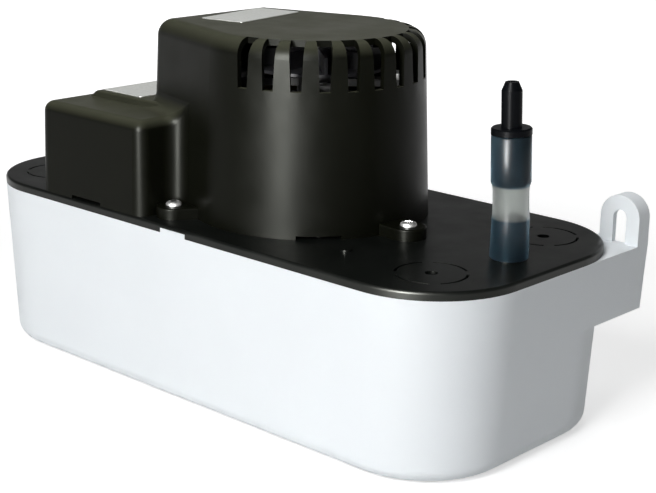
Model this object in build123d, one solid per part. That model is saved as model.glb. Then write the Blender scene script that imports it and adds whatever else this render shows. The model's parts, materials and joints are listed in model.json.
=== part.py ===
from build123d import *
import os
from math import cos, sin, sqrt, tan, radians, degrees, asin

os.makedirs("parts", exist_ok=True)

# Condensate tank pump: a white moulded tank, a black lid that carries a covered
# shaded-pole motor, a hanging centrifugal pump, a float switch and a check valve.
# Frame: X along the length with the outlet at +X, the wall side at +Y, +Z up.
# The origin is the centre of the tank's underside. Millimetres.
# A cutting shape runs 1 mm past each face that it opens.

# ---- tank ----
TANK_LENGTH = 280.0
TANK_WIDTH = 124.0
TANK_RADIUS = 39.5
TANK_HEIGHT = 72.4
TANK_END_DRAFT = 4.4
TANK_SIDE_DRAFT = 2.3
TANK_RADIUS_DRAFT = 2.9
TANK_WALL = 2.4
TANK_FLOOR = 2.8
TANK_BASE_FILLET = 6.0
TAB_X = -1.0
TAB_WIDTH = 14.6
TAB_HEIGHT = 1.9
TAB_DEPTH = 1.6

# ---- wall ears, one behind each rear corner of the tank ----
EAR_RADIUS = 9.0
EAR_RISE = 19.7
EAR_OVERHANG = 4.1
EAR_THICKNESS = 7.7
EAR_WALL = 2.5
EAR_SKIRT_DEPTH = 27.4
EAR_SKIRT_LENGTH = 22.5
SLOT_WIDTH = 6.0

# ---- lid ----
LID_THICKNESS = 3.4
LID_EDGE_FILLET = 1.2
LIP_DEPTH = 5.0
LIP_WALL = 1.8
LIP_GAP = 0.35
TAB_GAP = 0.3
KNOCKOUT_INSET_X = 29.0
KNOCKOUT_INSET_Y = 27.0
KNOCKOUT_RADIUS = 14.0
KNOCKOUT_GROOVE = 1.1
KNOCKOUT_BRIDGE = 4.0
PILOT_RADIUS = 2.5
BUMP_X = 70.0
BUMP_Y = -36.5
BUMP_RADIUS = 2.2
BUMP_HEIGHT = 0.8
PRESS_GAP = 0.05
SCREW_BOSS_RADIUS = 4.2
SCREW_BOSS_DEPTH = 10.0

# ---- motor cover ----
CYLINDER_X = 16.4
COVER_MARGIN = 12.4
COVER_HEIGHT = 76.7
COVER_DRAFT = 2.35
COVER_TAPER = 15.6
COVER_END_X = -48.2
COVER_CORNER = 9.0
COVER_TOP_FILLET = 7.0
COVER_WALL = 2.5
BOX_END_INSET = 51.4
BOX_LUG_GAP = 6.4
BOX_EDGE_INSET = 0.4
BOX_HEIGHT = 39.6
BOX_DRAFT = 1.6
BOX_CORNER = 6.0
BOX_TOP_FILLET = 4.5
BOX_PAD_HEIGHT = 2.6
BOX_PAD_INSET_X = 7.6
BOX_PAD_INSET_Y = 22.6
BOX_PAD_FILLET = 2.0
BOX_PAD_SLOPE = 35.0
BOX_PAD_HIDDEN_X = -34.3
FLARE_RADIUS = 7.0
EDGE_GAP = 1.5
CYLINDER_EDGE_GAP = (-53.0, -32.0)
BOX_GAP_START = 22.6
BOX_GAP_LENGTH = 19.0

# ---- ventilation slots ----
SLOT_PITCH = 13.7
SLOTS_EACH_SIDE = 6
SLOT_TURN = 1.1
VENT_DEPTH = 18.9
VENT_BOTTOM_WIDTH = 4.3
VENT_TOP_WIDTH = 6.0

# ---- cover lugs and screws ----
LUG_ANGLES = (-121.5, -4.5, 121.5)
LUG_OFFSET = 8.4
LUG_RADIUS = 7.2
LUG_HEIGHT = 4.7
LUG_FILLET = 0.7
SCREW_SHANK = 1.9
SCREW_HEAD_RADIUS = 3.3
SCREW_HEAD_HEIGHT = 2.3
SCREW_CLEARANCE = 0.15
SCREW_LENGTH = 9.0
HEAD_ROUNDING = 0.45
RECESS_SPAN = 1.2
RECESS_WIDTH = 0.28

# ---- outlet: stub on the lid, clear hose, check valve ----
OUTLET_INSET = 20.0
STUB_HEIGHT = 16.2
STUB_RADIUS = 5.95
STUB_BORE = 3.5
SOCKET_DEPTH = 10.0
SOCKET_WALL = 2.0
HOSE_WALL = 1.75
HOSE_SHORT = 0.5
HOSE_FIT = 0.05
HOSE_WAIST = 0.2
HOSE_MITRE = 0.7
HOSE_LIP = 0.25
HOSE_FLARE = 0.55
HOSE_STRETCH = 0.45
VALVE_LEAN = 2.1
LEAN_AXIS = (0.68, -0.733, 0)
PIVOT_GAP = 1.0
VALVE_GAP = 12.5
VALVE_LENGTH = 19.3
FLANGE_RADIUS = 7.7
FLANGE_THICKNESS = 2.6
SPIGOT_RADIUS = 3.9
SPIGOT_LENGTH = 13.7
SPIGOT_TAPER = 3.2
SPIGOT_TIP_RADIUS = 2.5
SPIGOT_BORE = 1.8
BALL_RADIUS = 3.4
BALL_CHAMBER = 4.2
BALL_TRAVEL = 4.0
SEAT_HEIGHT = 3.6
SEAT_HOLE = 2.4
SEAT_RADIUS = 4.6
BALL_PLAY = 0.05

# ---- pump under the lid ----
SHAFT_OFFSET = 3.6
SHAFT_RADIUS = 3.0
RUNNING_GAP = 0.05
SHAFT_HOLE_GAP = 1.0
COLUMN_SCREW_RADIUS = 1.4
COLUMN_SCREW_GRIP = 1.9
COLUMN_SCREW_HEAD = 1.6
COLUMN_RADIUS = 9.0
COLUMN_WALL = 2.2
COLUMN_FLANGE_RADIUS = 21.0
COLUMN_FLANGE = 3.0
VOLUTE_RADIUS = 27.0
VOLUTE_WALL = 2.2
VOLUTE_TOP = 30.0
VOLUTE_BOTTOM = 12.0
RIB_DEPTH = 14.0
RIB_INSET = 2.0
WINDOW_FOOT = 8.0
WINDOW_HEIGHT = 12.0
WINDOW_HALF_WIDTH = 2.0
INLET_EYE = 8.0
FOOT_LENGTH = 5.0
PLATE_THICKNESS = 2.4
STRAINER_SLOTS = 8
HUB_RADIUS = 5.0
IMPELLER_RADIUS = 19.0
IMPELLER_DISC = 2.0
IMPELLER_GAP = 1.2
VANE_COUNT = 6
VANE_THICKNESS = 1.6
VANE_MIDDLE = (0.62, 0.22)
VANE_END = (0.72, 0.66)
PIPE_RADIUS = 5.0
PIPE_BORE = 3.5
PIPE_Y = 16.0
PIPE_BEND = 10.0

# ---- motor ----
MOUNT_HEIGHT = 4.2
RUBBER_HEIGHT = 4.0
RUBBER_RADIUS = 6.0
BRACKET_THICKNESS = 3.0
BRACKET_ARM = 7.0
BRACKET_LEG = 7.0
BRACKET_LEG_RADIUS = 5.0
BEARING_RADIUS = 6.0
BEARING_BOSS = 8.6
BEARING_LENGTH = 9.0
STACK_MARGIN = 21.6
STACK_SHOULDER = 4.0
SHAFT_TOP_GAP = 4.5
SHAFT_END = 1.0
BOSS_RISE = 3.0
BOSS_DROP = 4.0
STACK_END_X = -26.0
COIL_LEG = 12.0
WINDOW_X = -3.0
WINDOW_HALF_Y = 16.0
ROTOR_RADIUS = 15.2
AIR_GAP = 0.4
END_RING = 2.0
BOLT_INSET_X = 4.0
BOLT_INSET_Y = 6.0
BOLT_RADIUS = 2.0
BOLT_HEAD_RADIUS = 3.7
BOLT_HEAD = 3.0
BOLT_HOLE_GAP = 0.2
COIL_DEPTH = 9.0
COIL_ROUNDING = 4.0
BOBBIN_WALL = 1.2
BOBBIN_FLANGE = 1.6
BOBBIN_GAP = 0.3
FAN_HEIGHT = 8.0
FAN_PLATE = 1.2
FAN_BLADES = 9
FAN_CLEARANCE = 1.5
SLINGER_LIFT = 1.2
SLINGER_DISC = 1.2

# ---- float and switches ----
ROD_INSET = 10.6
ROD_RADIUS = 2.0
ROD_GAP = 0.4
ROD_GUIDE_WALL = 1.2
ROD_GUIDE_HEIGHT = 6.2
ROD_LIFT = 5.0
ROD_TIP = 0.6
ROD_PLAY = 0.45
ROD_FOOT = 1.4
ROD_HEAD = 1.8
ROD_HEAD_HALF = 1.5
ARM_REACH = 24.5
ARM_PIVOT_DROP = 16.4
ARM_HALF_WIDTH = 4.0
ARM_THICKNESS = 4.0
ARM_TAIL = 8.0
PIN_RADIUS = 1.5
FLOAT_INSET = 34.0
FLOAT_LENGTH = 40.0
FLOAT_WIDTH = 44.0
FLOAT_HEIGHT = 20.0
FLOAT_DROP = 30.0
FLOAT_FILLET = 4.0
CHEEK_GAP = 0.3
CHEEK = 2.0
CHEEK_MARGIN = 5.0
STOP_LENGTH = 3.0
LEVER_REACH = 26.0
LEVER_THICKNESS = 0.8
LEVER_WIDTH = 4.5
LEVER_RISE = 16.6
LEVER_EAR = 1.2
LEVER_EAR_HALF = 1.6
LEVER_PIN = 0.8
BUTTON_REACH = 7.0
BUTTON_RADIUS = 1.0
BUTTON_LENGTH = 5.6
BUTTON_PLAY = 0.3
SWITCH_LENGTH = 28.0
SWITCH_HEIGHT = 16.0
SWITCH_WIDTH = 10.3
SWITCH_PLATE = 1.5
SWITCH_SCREW = 1.4
SWITCH_HEAD = 1.6
SWITCH_LAP = 2.0
SWITCH_GAP = 1.6
SWITCH_HOLE_FAR = (8.0, 10.0)
SWITCH_HOLE_NEAR = (3.0, 12.0)
BRACKET_FOOT_HALF = 10.0
BRACKET_INSET = 4.0

# ---- wiring ----
TERMINAL_INSET_X = 30.6
TERMINAL_INSET_Y = 21.6
TERMINAL_SIZE = (30.0, 12.0, 11.0)
TERMINAL_PITCH = 9.0
TERMINAL_WELL = 2.6
INLET_INSET = 28.6
INLET_RISE = 20.2
CORD_RADIUS = 3.6
GROMMET_RADIUS = 6.5
GROMMET_FLANGE = 9.0
GROMMET_LIP = 2.0
GROMMET_SEAT = 0.3

# ---- stickers ----
STICKER_THICKNESS = 0.25
TOP_STICKER_CENTRE = (-23.6, 4.2)
TOP_STICKER_SIZE = (21.5, 41.5)
TOP_STICKER_TURN = 9.5
SIDE_STICKER_MARGIN_X = 3.9
SIDE_STICKER_MARGIN_Y = 5.0
STICKER_CORNER = 1.2

# ---- values worked out from the ones above ----
LID_LOW = TANK_HEIGHT
LID_TOP = LID_LOW + LID_THICKNESS
EAR_X = TANK_LENGTH / 2 - EAR_RADIUS
EAR_TOP = TANK_HEIGHT + EAR_RISE
EAR_BACK = TANK_WIDTH / 2 + EAR_OVERHANG
EAR_FRONT = EAR_BACK - EAR_THICKNESS
EAR_SKIRT_BOTTOM = TANK_HEIGHT - EAR_SKIRT_DEPTH
EAR_INNER_X = TANK_LENGTH / 2 - EAR_SKIRT_LENGTH
KNOCKOUT_X = TANK_LENGTH / 2 - KNOCKOUT_INSET_X
KNOCKOUT_Y = TANK_WIDTH / 2 - KNOCKOUT_INSET_Y

COVER_RADIUS = TANK_WIDTH / 2 - COVER_MARGIN
COVER_TOP = LID_TOP + COVER_HEIGHT
VENT_BOTTOM = COVER_TOP - VENT_DEPTH
BOX_END_X = BOX_END_INSET - TANK_LENGTH / 2
BOX_HALF_WIDTH = TANK_WIDTH / 2 - BOX_EDGE_INSET
BOX_TOP = LID_TOP + BOX_HEIGHT
BOX_PAD_TOP = BOX_TOP + BOX_PAD_HEIGHT
BOX_PAD_END_X = BOX_END_X + BOX_PAD_INSET_X
BOX_PAD_HALF_WIDTH = BOX_HALF_WIDTH - BOX_PAD_INSET_Y
BOX_GAP_X = BOX_END_X + BOX_GAP_START
LUG_REACH = COVER_RADIUS + LUG_OFFSET
BOX_FRONT_X = CYLINDER_X + LUG_REACH * cos(radians(LUG_ANGLES[0])) - BOX_LUG_GAP
SCREW_SEAT = LID_TOP + LUG_HEIGHT
SIDE_STICKER_X = (BOX_PAD_END_X + COVER_END_X) / 2
SIDE_STICKER_SIZE = (COVER_END_X - BOX_PAD_END_X - 2 * SIDE_STICKER_MARGIN_X,
                     2 * (BOX_PAD_HALF_WIDTH - SIDE_STICKER_MARGIN_Y))

OUTLET_X = TANK_LENGTH / 2 - OUTLET_INSET
STUB_TOP = LID_TOP + STUB_HEIGHT
VALVE_PIVOT = STUB_TOP + PIVOT_GAP
VALVE_BOTTOM = STUB_TOP + VALVE_GAP
FLANGE_BOTTOM = VALVE_BOTTOM + VALVE_LENGTH
FLANGE_TOP = FLANGE_BOTTOM + FLANGE_THICKNESS
SPIGOT_SHOULDER = FLANGE_TOP + SPIGOT_LENGTH
SPIGOT_TIP = SPIGOT_SHOULDER + SPIGOT_TAPER
HOSE_TOP = FLANGE_BOTTOM - HOSE_SHORT
HOSE_RADIUS = STUB_RADIUS + HOSE_FIT + HOSE_WALL
BALL_CHAMBER_TOP = VALVE_BOTTOM + SEAT_HEIGHT + 2 * BALL_RADIUS + BALL_TRAVEL

SHAFT_X = CYLINDER_X + SHAFT_OFFSET
SHAFT_LOW = VOLUTE_BOTTOM + IMPELLER_GAP
PIPE_Z = (VOLUTE_BOTTOM + VOLUTE_TOP - VOLUTE_WALL) / 2
PIPE_START_X = SHAFT_X + VOLUTE_RADIUS - VOLUTE_WALL
PIPE_END_Z = TANK_HEIGHT - 2

STACK_HALF_Y = COVER_RADIUS - STACK_MARGIN
BOLT_PITCH_X = STACK_HALF_Y - BOLT_INSET_X
BOLT_PITCH_Y = STACK_HALF_Y - BOLT_INSET_Y
FAN_RADIUS = STACK_HALF_Y
MOTOR_FOOT = LID_TOP + MOUNT_HEIGHT
BRACKET_LOW = MOTOR_FOOT + RUBBER_HEIGHT
STACK_LOW = BRACKET_LOW + BRACKET_THICKNESS + BRACKET_LEG
SHAFT_TOP = COVER_TOP - COVER_WALL - SHAFT_TOP_GAP
FAN_LOW = SHAFT_TOP - SHAFT_END - FAN_HEIGHT
UPPER_BOSS_TOP = FAN_LOW - FAN_CLEARANCE
BRACKET_TOP = UPPER_BOSS_TOP - BOSS_RISE
BRACKET_HIGH = BRACKET_TOP - BRACKET_THICKNESS
STACK_TOP = BRACKET_HIGH - BRACKET_LEG
LOWER_BOSS_LOW = BRACKET_LOW - BOSS_DROP

ROD_X = BOX_END_X + ROD_INSET
ROD_GUIDE_TOP = LID_TOP + ROD_GUIDE_HEIGHT
PIVOT_X = ROD_X + ARM_REACH
ARM_PIVOT_Z = TANK_HEIGHT - ARM_PIVOT_DROP
FLOAT_X = FLOAT_INSET - TANK_LENGTH / 2
FLOAT_BOTTOM = ARM_PIVOT_Z - FLOAT_DROP
LEVER_PIVOT_X = ROD_X + LEVER_REACH
LEVER_Z = LID_TOP + LEVER_RISE
LEVER_SWING = ROD_LIFT / LEVER_REACH
LEVER_DROP = degrees(LEVER_SWING)
BUTTON_X = LEVER_PIVOT_X - BUTTON_REACH
BUTTON_TRAVEL = BUTTON_REACH * LEVER_SWING
BUTTON_BOTTOM = LEVER_Z + LEVER_THICKNESS / 2 - BUTTON_REACH * tan(LEVER_SWING) + BUTTON_PLAY
BUTTON_TOP = BUTTON_BOTTOM + BUTTON_LENGTH
ROD_LOW = ARM_PIVOT_Z + ARM_THICKNESS / 2 + ROD_PLAY
ROD_HIGH = LEVER_Z - LEVER_THICKNESS / 2 - LEVER_REACH * tan(LEVER_SWING) - ROD_PLAY
ROD_HEAD_TOP = ROD_HIGH - ROD_HEAD_HALF
SWITCH_Y = SWITCH_PLATE / 2 + SWITCH_WIDTH / 2
SWITCH_LOW = LEVER_Z + LEVER_THICKNESS / 2 + SWITCH_GAP
SWITCH_END_X = LEVER_PIVOT_X + SWITCH_LAP - SWITCH_LENGTH
TERMINAL_X = BOX_END_X + TERMINAL_INSET_X
TERMINAL_Y = BOX_HALF_WIDTH - TERMINAL_INSET_Y
INLET_X = BOX_END_X + INLET_INSET
INLET_Z = LID_TOP + INLET_RISE


def at(x, y, z):
    return Pos(x, y, z)


def block(x0, x1, y0, y1, z0, z1):
    size = Box(x1 - x0, y1 - y0, z1 - z0)
    return at((x0 + x1) / 2, (y0 + y1) / 2, (z0 + z1) / 2) * size


def rod(radius, z0, z1, x=0.0, y=0.0):
    return at(x, y, (z0 + z1) / 2) * Cylinder(radius, z1 - z0)


def tube(outer, inner, z0, z1, x=0.0, y=0.0):
    return rod(outer, z0, z1, x, y) - rod(inner, z0 - 1, z1 + 1, x, y)


def bar_y(radius, y0, y1, x, z):
    return at(x, (y0 + y1) / 2, z) * Rot(90, 0, 0) * Cylinder(radius, y1 - y0)


def write(solid, name):
    solid.label = name
    export_step(solid, f"parts/{name}.step")


def tank_section(z, inset=0.0):
    share = 1 - z / TANK_HEIGHT
    length = TANK_LENGTH - 2 * TANK_END_DRAFT * share - 2 * inset
    width = TANK_WIDTH - 2 * TANK_SIDE_DRAFT * share - 2 * inset
    radius = TANK_RADIUS - TANK_RADIUS_DRAFT * share - inset
    return at(0, 0, z) * RectangleRounded(length, width, radius)


def tank_block(z0, z1, inset=0.0):
    return loft([tank_section(z0, inset).face(), tank_section(z1, inset).face()])


def tank_end_x(z):
    return TANK_LENGTH / 2 - TANK_END_DRAFT * (1 - z / TANK_HEIGHT)


def ear_skirt(z0, z1, inner_x, side_inset, back_y):
    faces = []
    for z in (z0, z1):
        end_x = tank_end_x(z) - side_inset
        middle = at((inner_x + end_x) / 2, back_y / 2, z)
        faces.append((middle * Rectangle(end_x - inner_x, back_y)).face())
    return loft(faces)


def arched(radius, front_y, back_y, low):
    """An upright bar with a round head, seen from the front."""
    centre_z = EAR_TOP - EAR_RADIUS
    head = bar_y(radius, front_y, back_y, EAR_X, centre_z)
    return head + block(EAR_X - radius, EAR_X + radius, front_y, back_y, low, centre_z)


def wall_ear():
    """A skirt that squares the tank's corner, with an arch on it that is hollow from behind."""
    shelf_low = TANK_HEIGHT - EAR_WALL
    outer = ear_skirt(EAR_SKIRT_BOTTOM, TANK_HEIGHT, EAR_INNER_X, 0, EAR_BACK)
    hollow = ear_skirt(EAR_SKIRT_BOTTOM - 1, shelf_low, EAR_INNER_X + EAR_WALL, EAR_WALL, EAR_BACK - EAR_WALL)
    arch = arched(EAR_RADIUS, EAR_FRONT, EAR_BACK, TANK_HEIGHT - 1)
    pocket = arched(EAR_RADIUS - EAR_WALL, EAR_FRONT + EAR_WALL, EAR_BACK + 1, shelf_low - 1)
    slot = arched(SLOT_WIDTH / 2, EAR_FRONT - 1, EAR_BACK + 1, TANK_HEIGHT)
    return outer - hollow + arch - pocket - slot


def tank():
    outer = tank_block(0, TANK_HEIGHT)
    outer = fillet(outer.faces().sort_by(Axis.Z)[0].edges(), TANK_BASE_FILLET)
    inner = tank_block(TANK_FLOOR, TANK_HEIGHT + 5, TANK_WALL)
    inner = fillet(inner.faces().sort_by(Axis.Z)[0].edges(), TANK_BASE_FILLET - TANK_WALL)
    ear = wall_ear()
    shell = outer + ear + mirror(ear, about=Plane.YZ) - inner
    for side in (-1, 1):
        edge_y = side * (TANK_WIDTH / 2 - TAB_DEPTH / 2)
        tab = at(TAB_X, edge_y, TANK_HEIGHT + TAB_HEIGHT / 2 - 0.5)
        shell += tab * Box(TAB_WIDTH, TAB_DEPTH, TAB_HEIGHT + 1)
    return shell


def lug_place(angle):
    x = CYLINDER_X + LUG_REACH * cos(radians(angle))
    y = LUG_REACH * sin(radians(angle))
    return x, y


def bolt_places():
    places = []
    for side_x in (-1, 1):
        for side_y in (-1, 1):
            places.append((SHAFT_X + side_x * BOLT_PITCH_X, side_y * BOLT_PITCH_Y))
    return places


def column_screw_places():
    reach = (COLUMN_RADIUS + COLUMN_FLANGE_RADIUS) / 2
    places = []
    for angle in (60, 180, 300):
        places.append((SHAFT_X + reach * cos(radians(angle)), reach * sin(radians(angle))))
    return places


def knockout_cut():
    low = LID_LOW - 1
    high = LID_TOP + 1
    ring = tube(KNOCKOUT_RADIUS, KNOCKOUT_RADIUS - KNOCKOUT_GROOVE, low, high)
    half = KNOCKOUT_BRIDGE / 2
    for turn in (45, -45):
        bridge = block(-2 * KNOCKOUT_RADIUS, 2 * KNOCKOUT_RADIUS, -half, half, low - 1, high + 1)
        ring -= Rot(0, 0, turn) * bridge
    return ring + rod(PILOT_RADIUS, low, high)


def lid_plate():
    plate = extrude(tank_section(LID_LOW), LID_THICKNESS)
    plate = fillet(plate.faces().sort_by(Axis.Z)[-1].edges(), LID_EDGE_FILLET)
    lip_inset = TANK_WALL + LIP_GAP
    lip = tank_block(LID_LOW - LIP_DEPTH, LID_LOW, lip_inset)
    lip -= tank_block(LID_LOW - LIP_DEPTH - 1, LID_LOW + 1, lip_inset + LIP_WALL)
    plate += lip
    notch = Box(TAB_WIDTH + 2 * TAB_GAP, 2 * (TAB_DEPTH + TAB_GAP), 3 * LID_THICKNESS)
    for side in (-1, 1):
        plate -= at(TAB_X, side * TANK_WIDTH / 2, LID_TOP) * notch
    for side_x in (-1, 1):
        for side_y in (-1, 1):
            plate -= at(side_x * KNOCKOUT_X, side_y * KNOCKOUT_Y, 0) * knockout_cut()
    return plate


def lid():
    plate = lid_plate()
    for angle in LUG_ANGLES:
        x, y = lug_place(angle)
        plate += rod(SCREW_BOSS_RADIUS, LID_LOW - SCREW_BOSS_DEPTH, LID_LOW, x, y)
        plate -= rod(SCREW_SHANK + PRESS_GAP, SCREW_SEAT - SCREW_LENGTH - 2, LID_TOP + 1, x, y)
    for x, y in bolt_places():
        plate += rod(RUBBER_RADIUS - 1, LID_TOP, MOTOR_FOOT, x, y)
        plate -= rod(BOLT_RADIUS + PRESS_GAP, LID_LOW - 1, MOTOR_FOOT + 1, x, y)
    for x, y in column_screw_places():
        plate -= rod(COLUMN_SCREW_RADIUS + PRESS_GAP, LID_LOW - 1, LID_TOP - 1, x, y)
    plate += rod(STUB_RADIUS, LID_TOP, STUB_TOP, OUTLET_X)
    plate += rod(PIPE_RADIUS + SOCKET_WALL, LID_LOW - SOCKET_DEPTH, LID_LOW, OUTLET_X)
    plate -= rod(PIPE_RADIUS + PRESS_GAP, LID_LOW - SOCKET_DEPTH - 1, PIPE_END_Z, OUTLET_X)
    plate -= rod(STUB_BORE, LID_LOW - SOCKET_DEPTH, STUB_TOP + 1, OUTLET_X)
    plate -= rod(SHAFT_RADIUS + SHAFT_HOLE_GAP, LID_LOW - 1, LID_TOP + 1, SHAFT_X)
    plate += rod(ROD_RADIUS + ROD_GAP + ROD_GUIDE_WALL, LID_TOP, ROD_GUIDE_TOP, ROD_X)
    plate -= rod(ROD_RADIUS + ROD_GAP, LID_LOW - 1, ROD_GUIDE_TOP + 1, ROD_X)
    plate += rod(BUMP_RADIUS, LID_TOP, LID_TOP + BUMP_HEIGHT, BUMP_X, BUMP_Y)
    return plate


def teardrop(radius, end_x, corner):
    """Plan of the tall part: a circle run out to a flat end by two tangent sides."""
    angle = radians(COVER_TAPER)
    tangent_x = CYLINDER_X - radius * sin(angle)
    tangent_y = radius * cos(angle)
    end_y = tangent_y - (tangent_x - end_x) * tan(angle)
    outline = Curve() + [
        Line((end_x, -end_y), (tangent_x, -tangent_y)),
        ThreePointArc((tangent_x, -tangent_y), (CYLINDER_X + radius, 0), (tangent_x, tangent_y)),
        Line((tangent_x, tangent_y), (end_x, end_y)),
        Line((end_x, end_y), (end_x, -end_y)),
    ]
    face = make_face(outline)
    return fillet(face.vertices().sort_by(Axis.X)[:2], corner)


def tall_part(inset, top):
    face = teardrop(COVER_RADIUS - inset, COVER_END_X + inset, COVER_CORNER - inset)
    return extrude(at(0, 0, LID_TOP) * face, top - LID_TOP, taper=COVER_DRAFT)


def low_box(inset, top):
    length = BOX_FRONT_X - BOX_END_X - 2 * inset
    width = 2 * BOX_HALF_WIDTH - 2 * inset
    middle = at((BOX_FRONT_X + BOX_END_X) / 2, 0, LID_TOP)
    plan = middle * RectangleRounded(length, width, BOX_CORNER - inset)
    return extrude(plan, top - LID_TOP, taper=BOX_DRAFT)


def is_inside_corner(edge):
    """True for an edge where the tall part rises out of the low box."""
    centre = edge.center()
    upright = edge.bounding_box().size.Z > (BOX_TOP - LID_TOP) / 2
    beside_end_wall = abs(centre.X - BOX_FRONT_X) < 3 and abs(centre.Y) < COVER_RADIUS
    on_box_top = abs(centre.Z - BOX_TOP) < 0.1
    around_tall_part = abs(centre.Y) < COVER_RADIUS - 4 and centre.X > COVER_END_X - 2
    return (upright and beside_end_wall) or (on_box_top and around_tall_part)


def is_box_rim(edge):
    """True for an edge of the low box's top that is on the outside."""
    centre = edge.center()
    on_box_top = abs(centre.Z - BOX_TOP) < 0.1
    outside = abs(centre.Y) > COVER_RADIUS - 4.5 or centre.X < BOX_PAD_END_X
    return on_box_top and outside


def is_pad_rim(edge):
    centre = edge.center()
    on_pad_top = abs(centre.Z - BOX_PAD_TOP) < 0.05
    return on_pad_top and (abs(centre.Y) > BOX_PAD_HALF_WIDTH - 3 or centre.X < BOX_PAD_END_X + 6)


def cover_pad():
    """The raised field on the low box, with sloped and rounded flanks."""
    length = 2 * (CYLINDER_X - BOX_PAD_END_X)
    face = at(CYLINDER_X, 0, BOX_TOP - 1) * Rectangle(length, 2 * BOX_PAD_HALF_WIDTH)
    pad = extrude(face, BOX_PAD_HEIGHT + 1, taper=BOX_PAD_SLOPE)
    return pad & block(BOX_PAD_END_X - 5, BOX_PAD_HIDDEN_X, -BOX_HALF_WIDTH, BOX_HALF_WIDTH,
                       BOX_TOP - 2, COVER_TOP)


def cover_outside():
    body = low_box(0, BOX_TOP) + tall_part(0, COVER_TOP)
    body = fillet([edge for edge in body.edges() if is_inside_corner(edge)], FLARE_RADIUS)
    body = fillet([edge for edge in body.edges() if is_box_rim(edge)], BOX_TOP_FILLET)
    body = fillet(body.faces().sort_by(Axis.Z)[-1].edges(), COVER_TOP_FILLET)
    body += cover_pad()
    pad_rim = [edge for edge in body.edges() if is_pad_rim(edge)]
    return fillet(pad_rim, BOX_PAD_FILLET)


def cover_inside():
    tall = tall_part(COVER_WALL, COVER_TOP - COVER_WALL)
    tall = fillet(tall.faces().sort_by(Axis.Z)[-1].edges(), COVER_TOP_FILLET - COVER_WALL)
    box = low_box(COVER_WALL, BOX_TOP - COVER_WALL)
    box = fillet(box.faces().sort_by(Axis.Z)[-1].edges(), BOX_TOP_FILLET - COVER_WALL)
    return box + tall


def vent_cutter(angle):
    """One slot: narrow at the foot, wider at the top, running out over the rounded edge."""
    draft = (COVER_TOP - LID_TOP) * tan(radians(COVER_DRAFT))
    flat_radius = COVER_RADIUS - draft - COVER_TOP_FILLET
    top = COVER_TOP + 1
    half_low = VENT_BOTTOM_WIDTH / 2
    half_high = VENT_TOP_WIDTH / 2
    outline = Polygon((-half_low, VENT_BOTTOM), (half_low, VENT_BOTTOM), (half_high, top), (-half_high, top),
                      align=None)
    face = Plane(origin=(flat_radius, 0, 0), x_dir=(0, 1, 0), z_dir=(1, 0, 0)) * outline
    return at(CYLINDER_X, 0, 0) * Rot(0, 0, angle) * extrude(face, 2 * COVER_TOP_FILLET)


def lug(angle):
    x, y = lug_place(angle)
    web = LUG_REACH - COVER_RADIUS + 2 * COVER_WALL
    body = rod(LUG_RADIUS, 0, LUG_HEIGHT)
    body += block(-web, 0, -LUG_RADIUS, LUG_RADIUS, 0, LUG_HEIGHT)
    body = fillet(body.faces().sort_by(Axis.Z)[-1].edges(), LUG_FILLET)
    return at(x, y, LID_TOP) * Rot(0, 0, angle) * body


def edge_gap(angle_low, angle_high):
    """A shallow gap under the cylinder's edge between two angles."""
    reach = 2 * COVER_RADIUS
    half_span = (angle_high - angle_low) / 2
    right = Rot(0, 0, half_span) * block(0, reach, -reach, 0, LID_TOP - 1, LID_TOP + EDGE_GAP)
    left = Rot(0, 0, -half_span) * block(0, reach, 0, reach, LID_TOP - 1, LID_TOP + EDGE_GAP)
    wedge = right & left
    wedge -= rod(COVER_RADIUS - 3 * COVER_WALL, LID_TOP - 2, LID_TOP + 2 * EDGE_GAP)
    return at(CYLINDER_X, 0, 0) * Rot(0, 0, (angle_low + angle_high) / 2) * wedge


def motor_cover():
    cover = cover_outside()
    for angle in LUG_ANGLES:
        cover += lug(angle)
    cover -= cover_inside()
    for angle in LUG_ANGLES:
        x, y = lug_place(angle)
        cover -= rod(SCREW_SHANK + SCREW_CLEARANCE, LID_TOP - 1, SCREW_SEAT + 1, x, y)
    for step in range(-SLOTS_EACH_SIDE, SLOTS_EACH_SIDE + 1):
        cover -= vent_cutter(step * SLOT_PITCH + SLOT_TURN)
    cover -= edge_gap(*CYLINDER_EDGE_GAP)
    cover -= block(BOX_GAP_X, BOX_GAP_X + BOX_GAP_LENGTH, -BOX_HALF_WIDTH - 1,
                   2 * COVER_WALL - BOX_HALF_WIDTH, LID_TOP - 1, LID_TOP + EDGE_GAP)
    inside = BOX_HALF_WIDTH - 3 * COVER_WALL
    return cover - bar_y(GROMMET_RADIUS + PRESS_GAP, inside, BOX_HALF_WIDTH + 1, INLET_X, INLET_Z)


def pan_screw(shank, length, head_radius, head_height):
    """A pan-head screw with a cross recess, seated at zero and pointing down."""
    head = rod(head_radius, 0, head_height)
    head = fillet(head.faces().sort_by(Axis.Z)[-1].edges(), head_height * HEAD_ROUNDING)
    recess = Box(head_radius * RECESS_SPAN, head_radius * RECESS_WIDTH, head_height)
    head -= at(0, 0, head_height) * recess
    head -= at(0, 0, head_height) * Rot(0, 0, 90) * recess
    return head + rod(shank, -length, 0)


def group(solids):
    return Compound(children=solids)


def cover_screws():
    screws = []
    for index, angle in enumerate(LUG_ANGLES):
        x, y = lug_place(angle)
        screw = pan_screw(SCREW_SHANK, SCREW_LENGTH, SCREW_HEAD_RADIUS, SCREW_HEAD_HEIGHT)
        screws.append(at(x, y, SCREW_SEAT) * Rot(0, 0, 35 * index) * screw)
    return group(screws)


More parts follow.
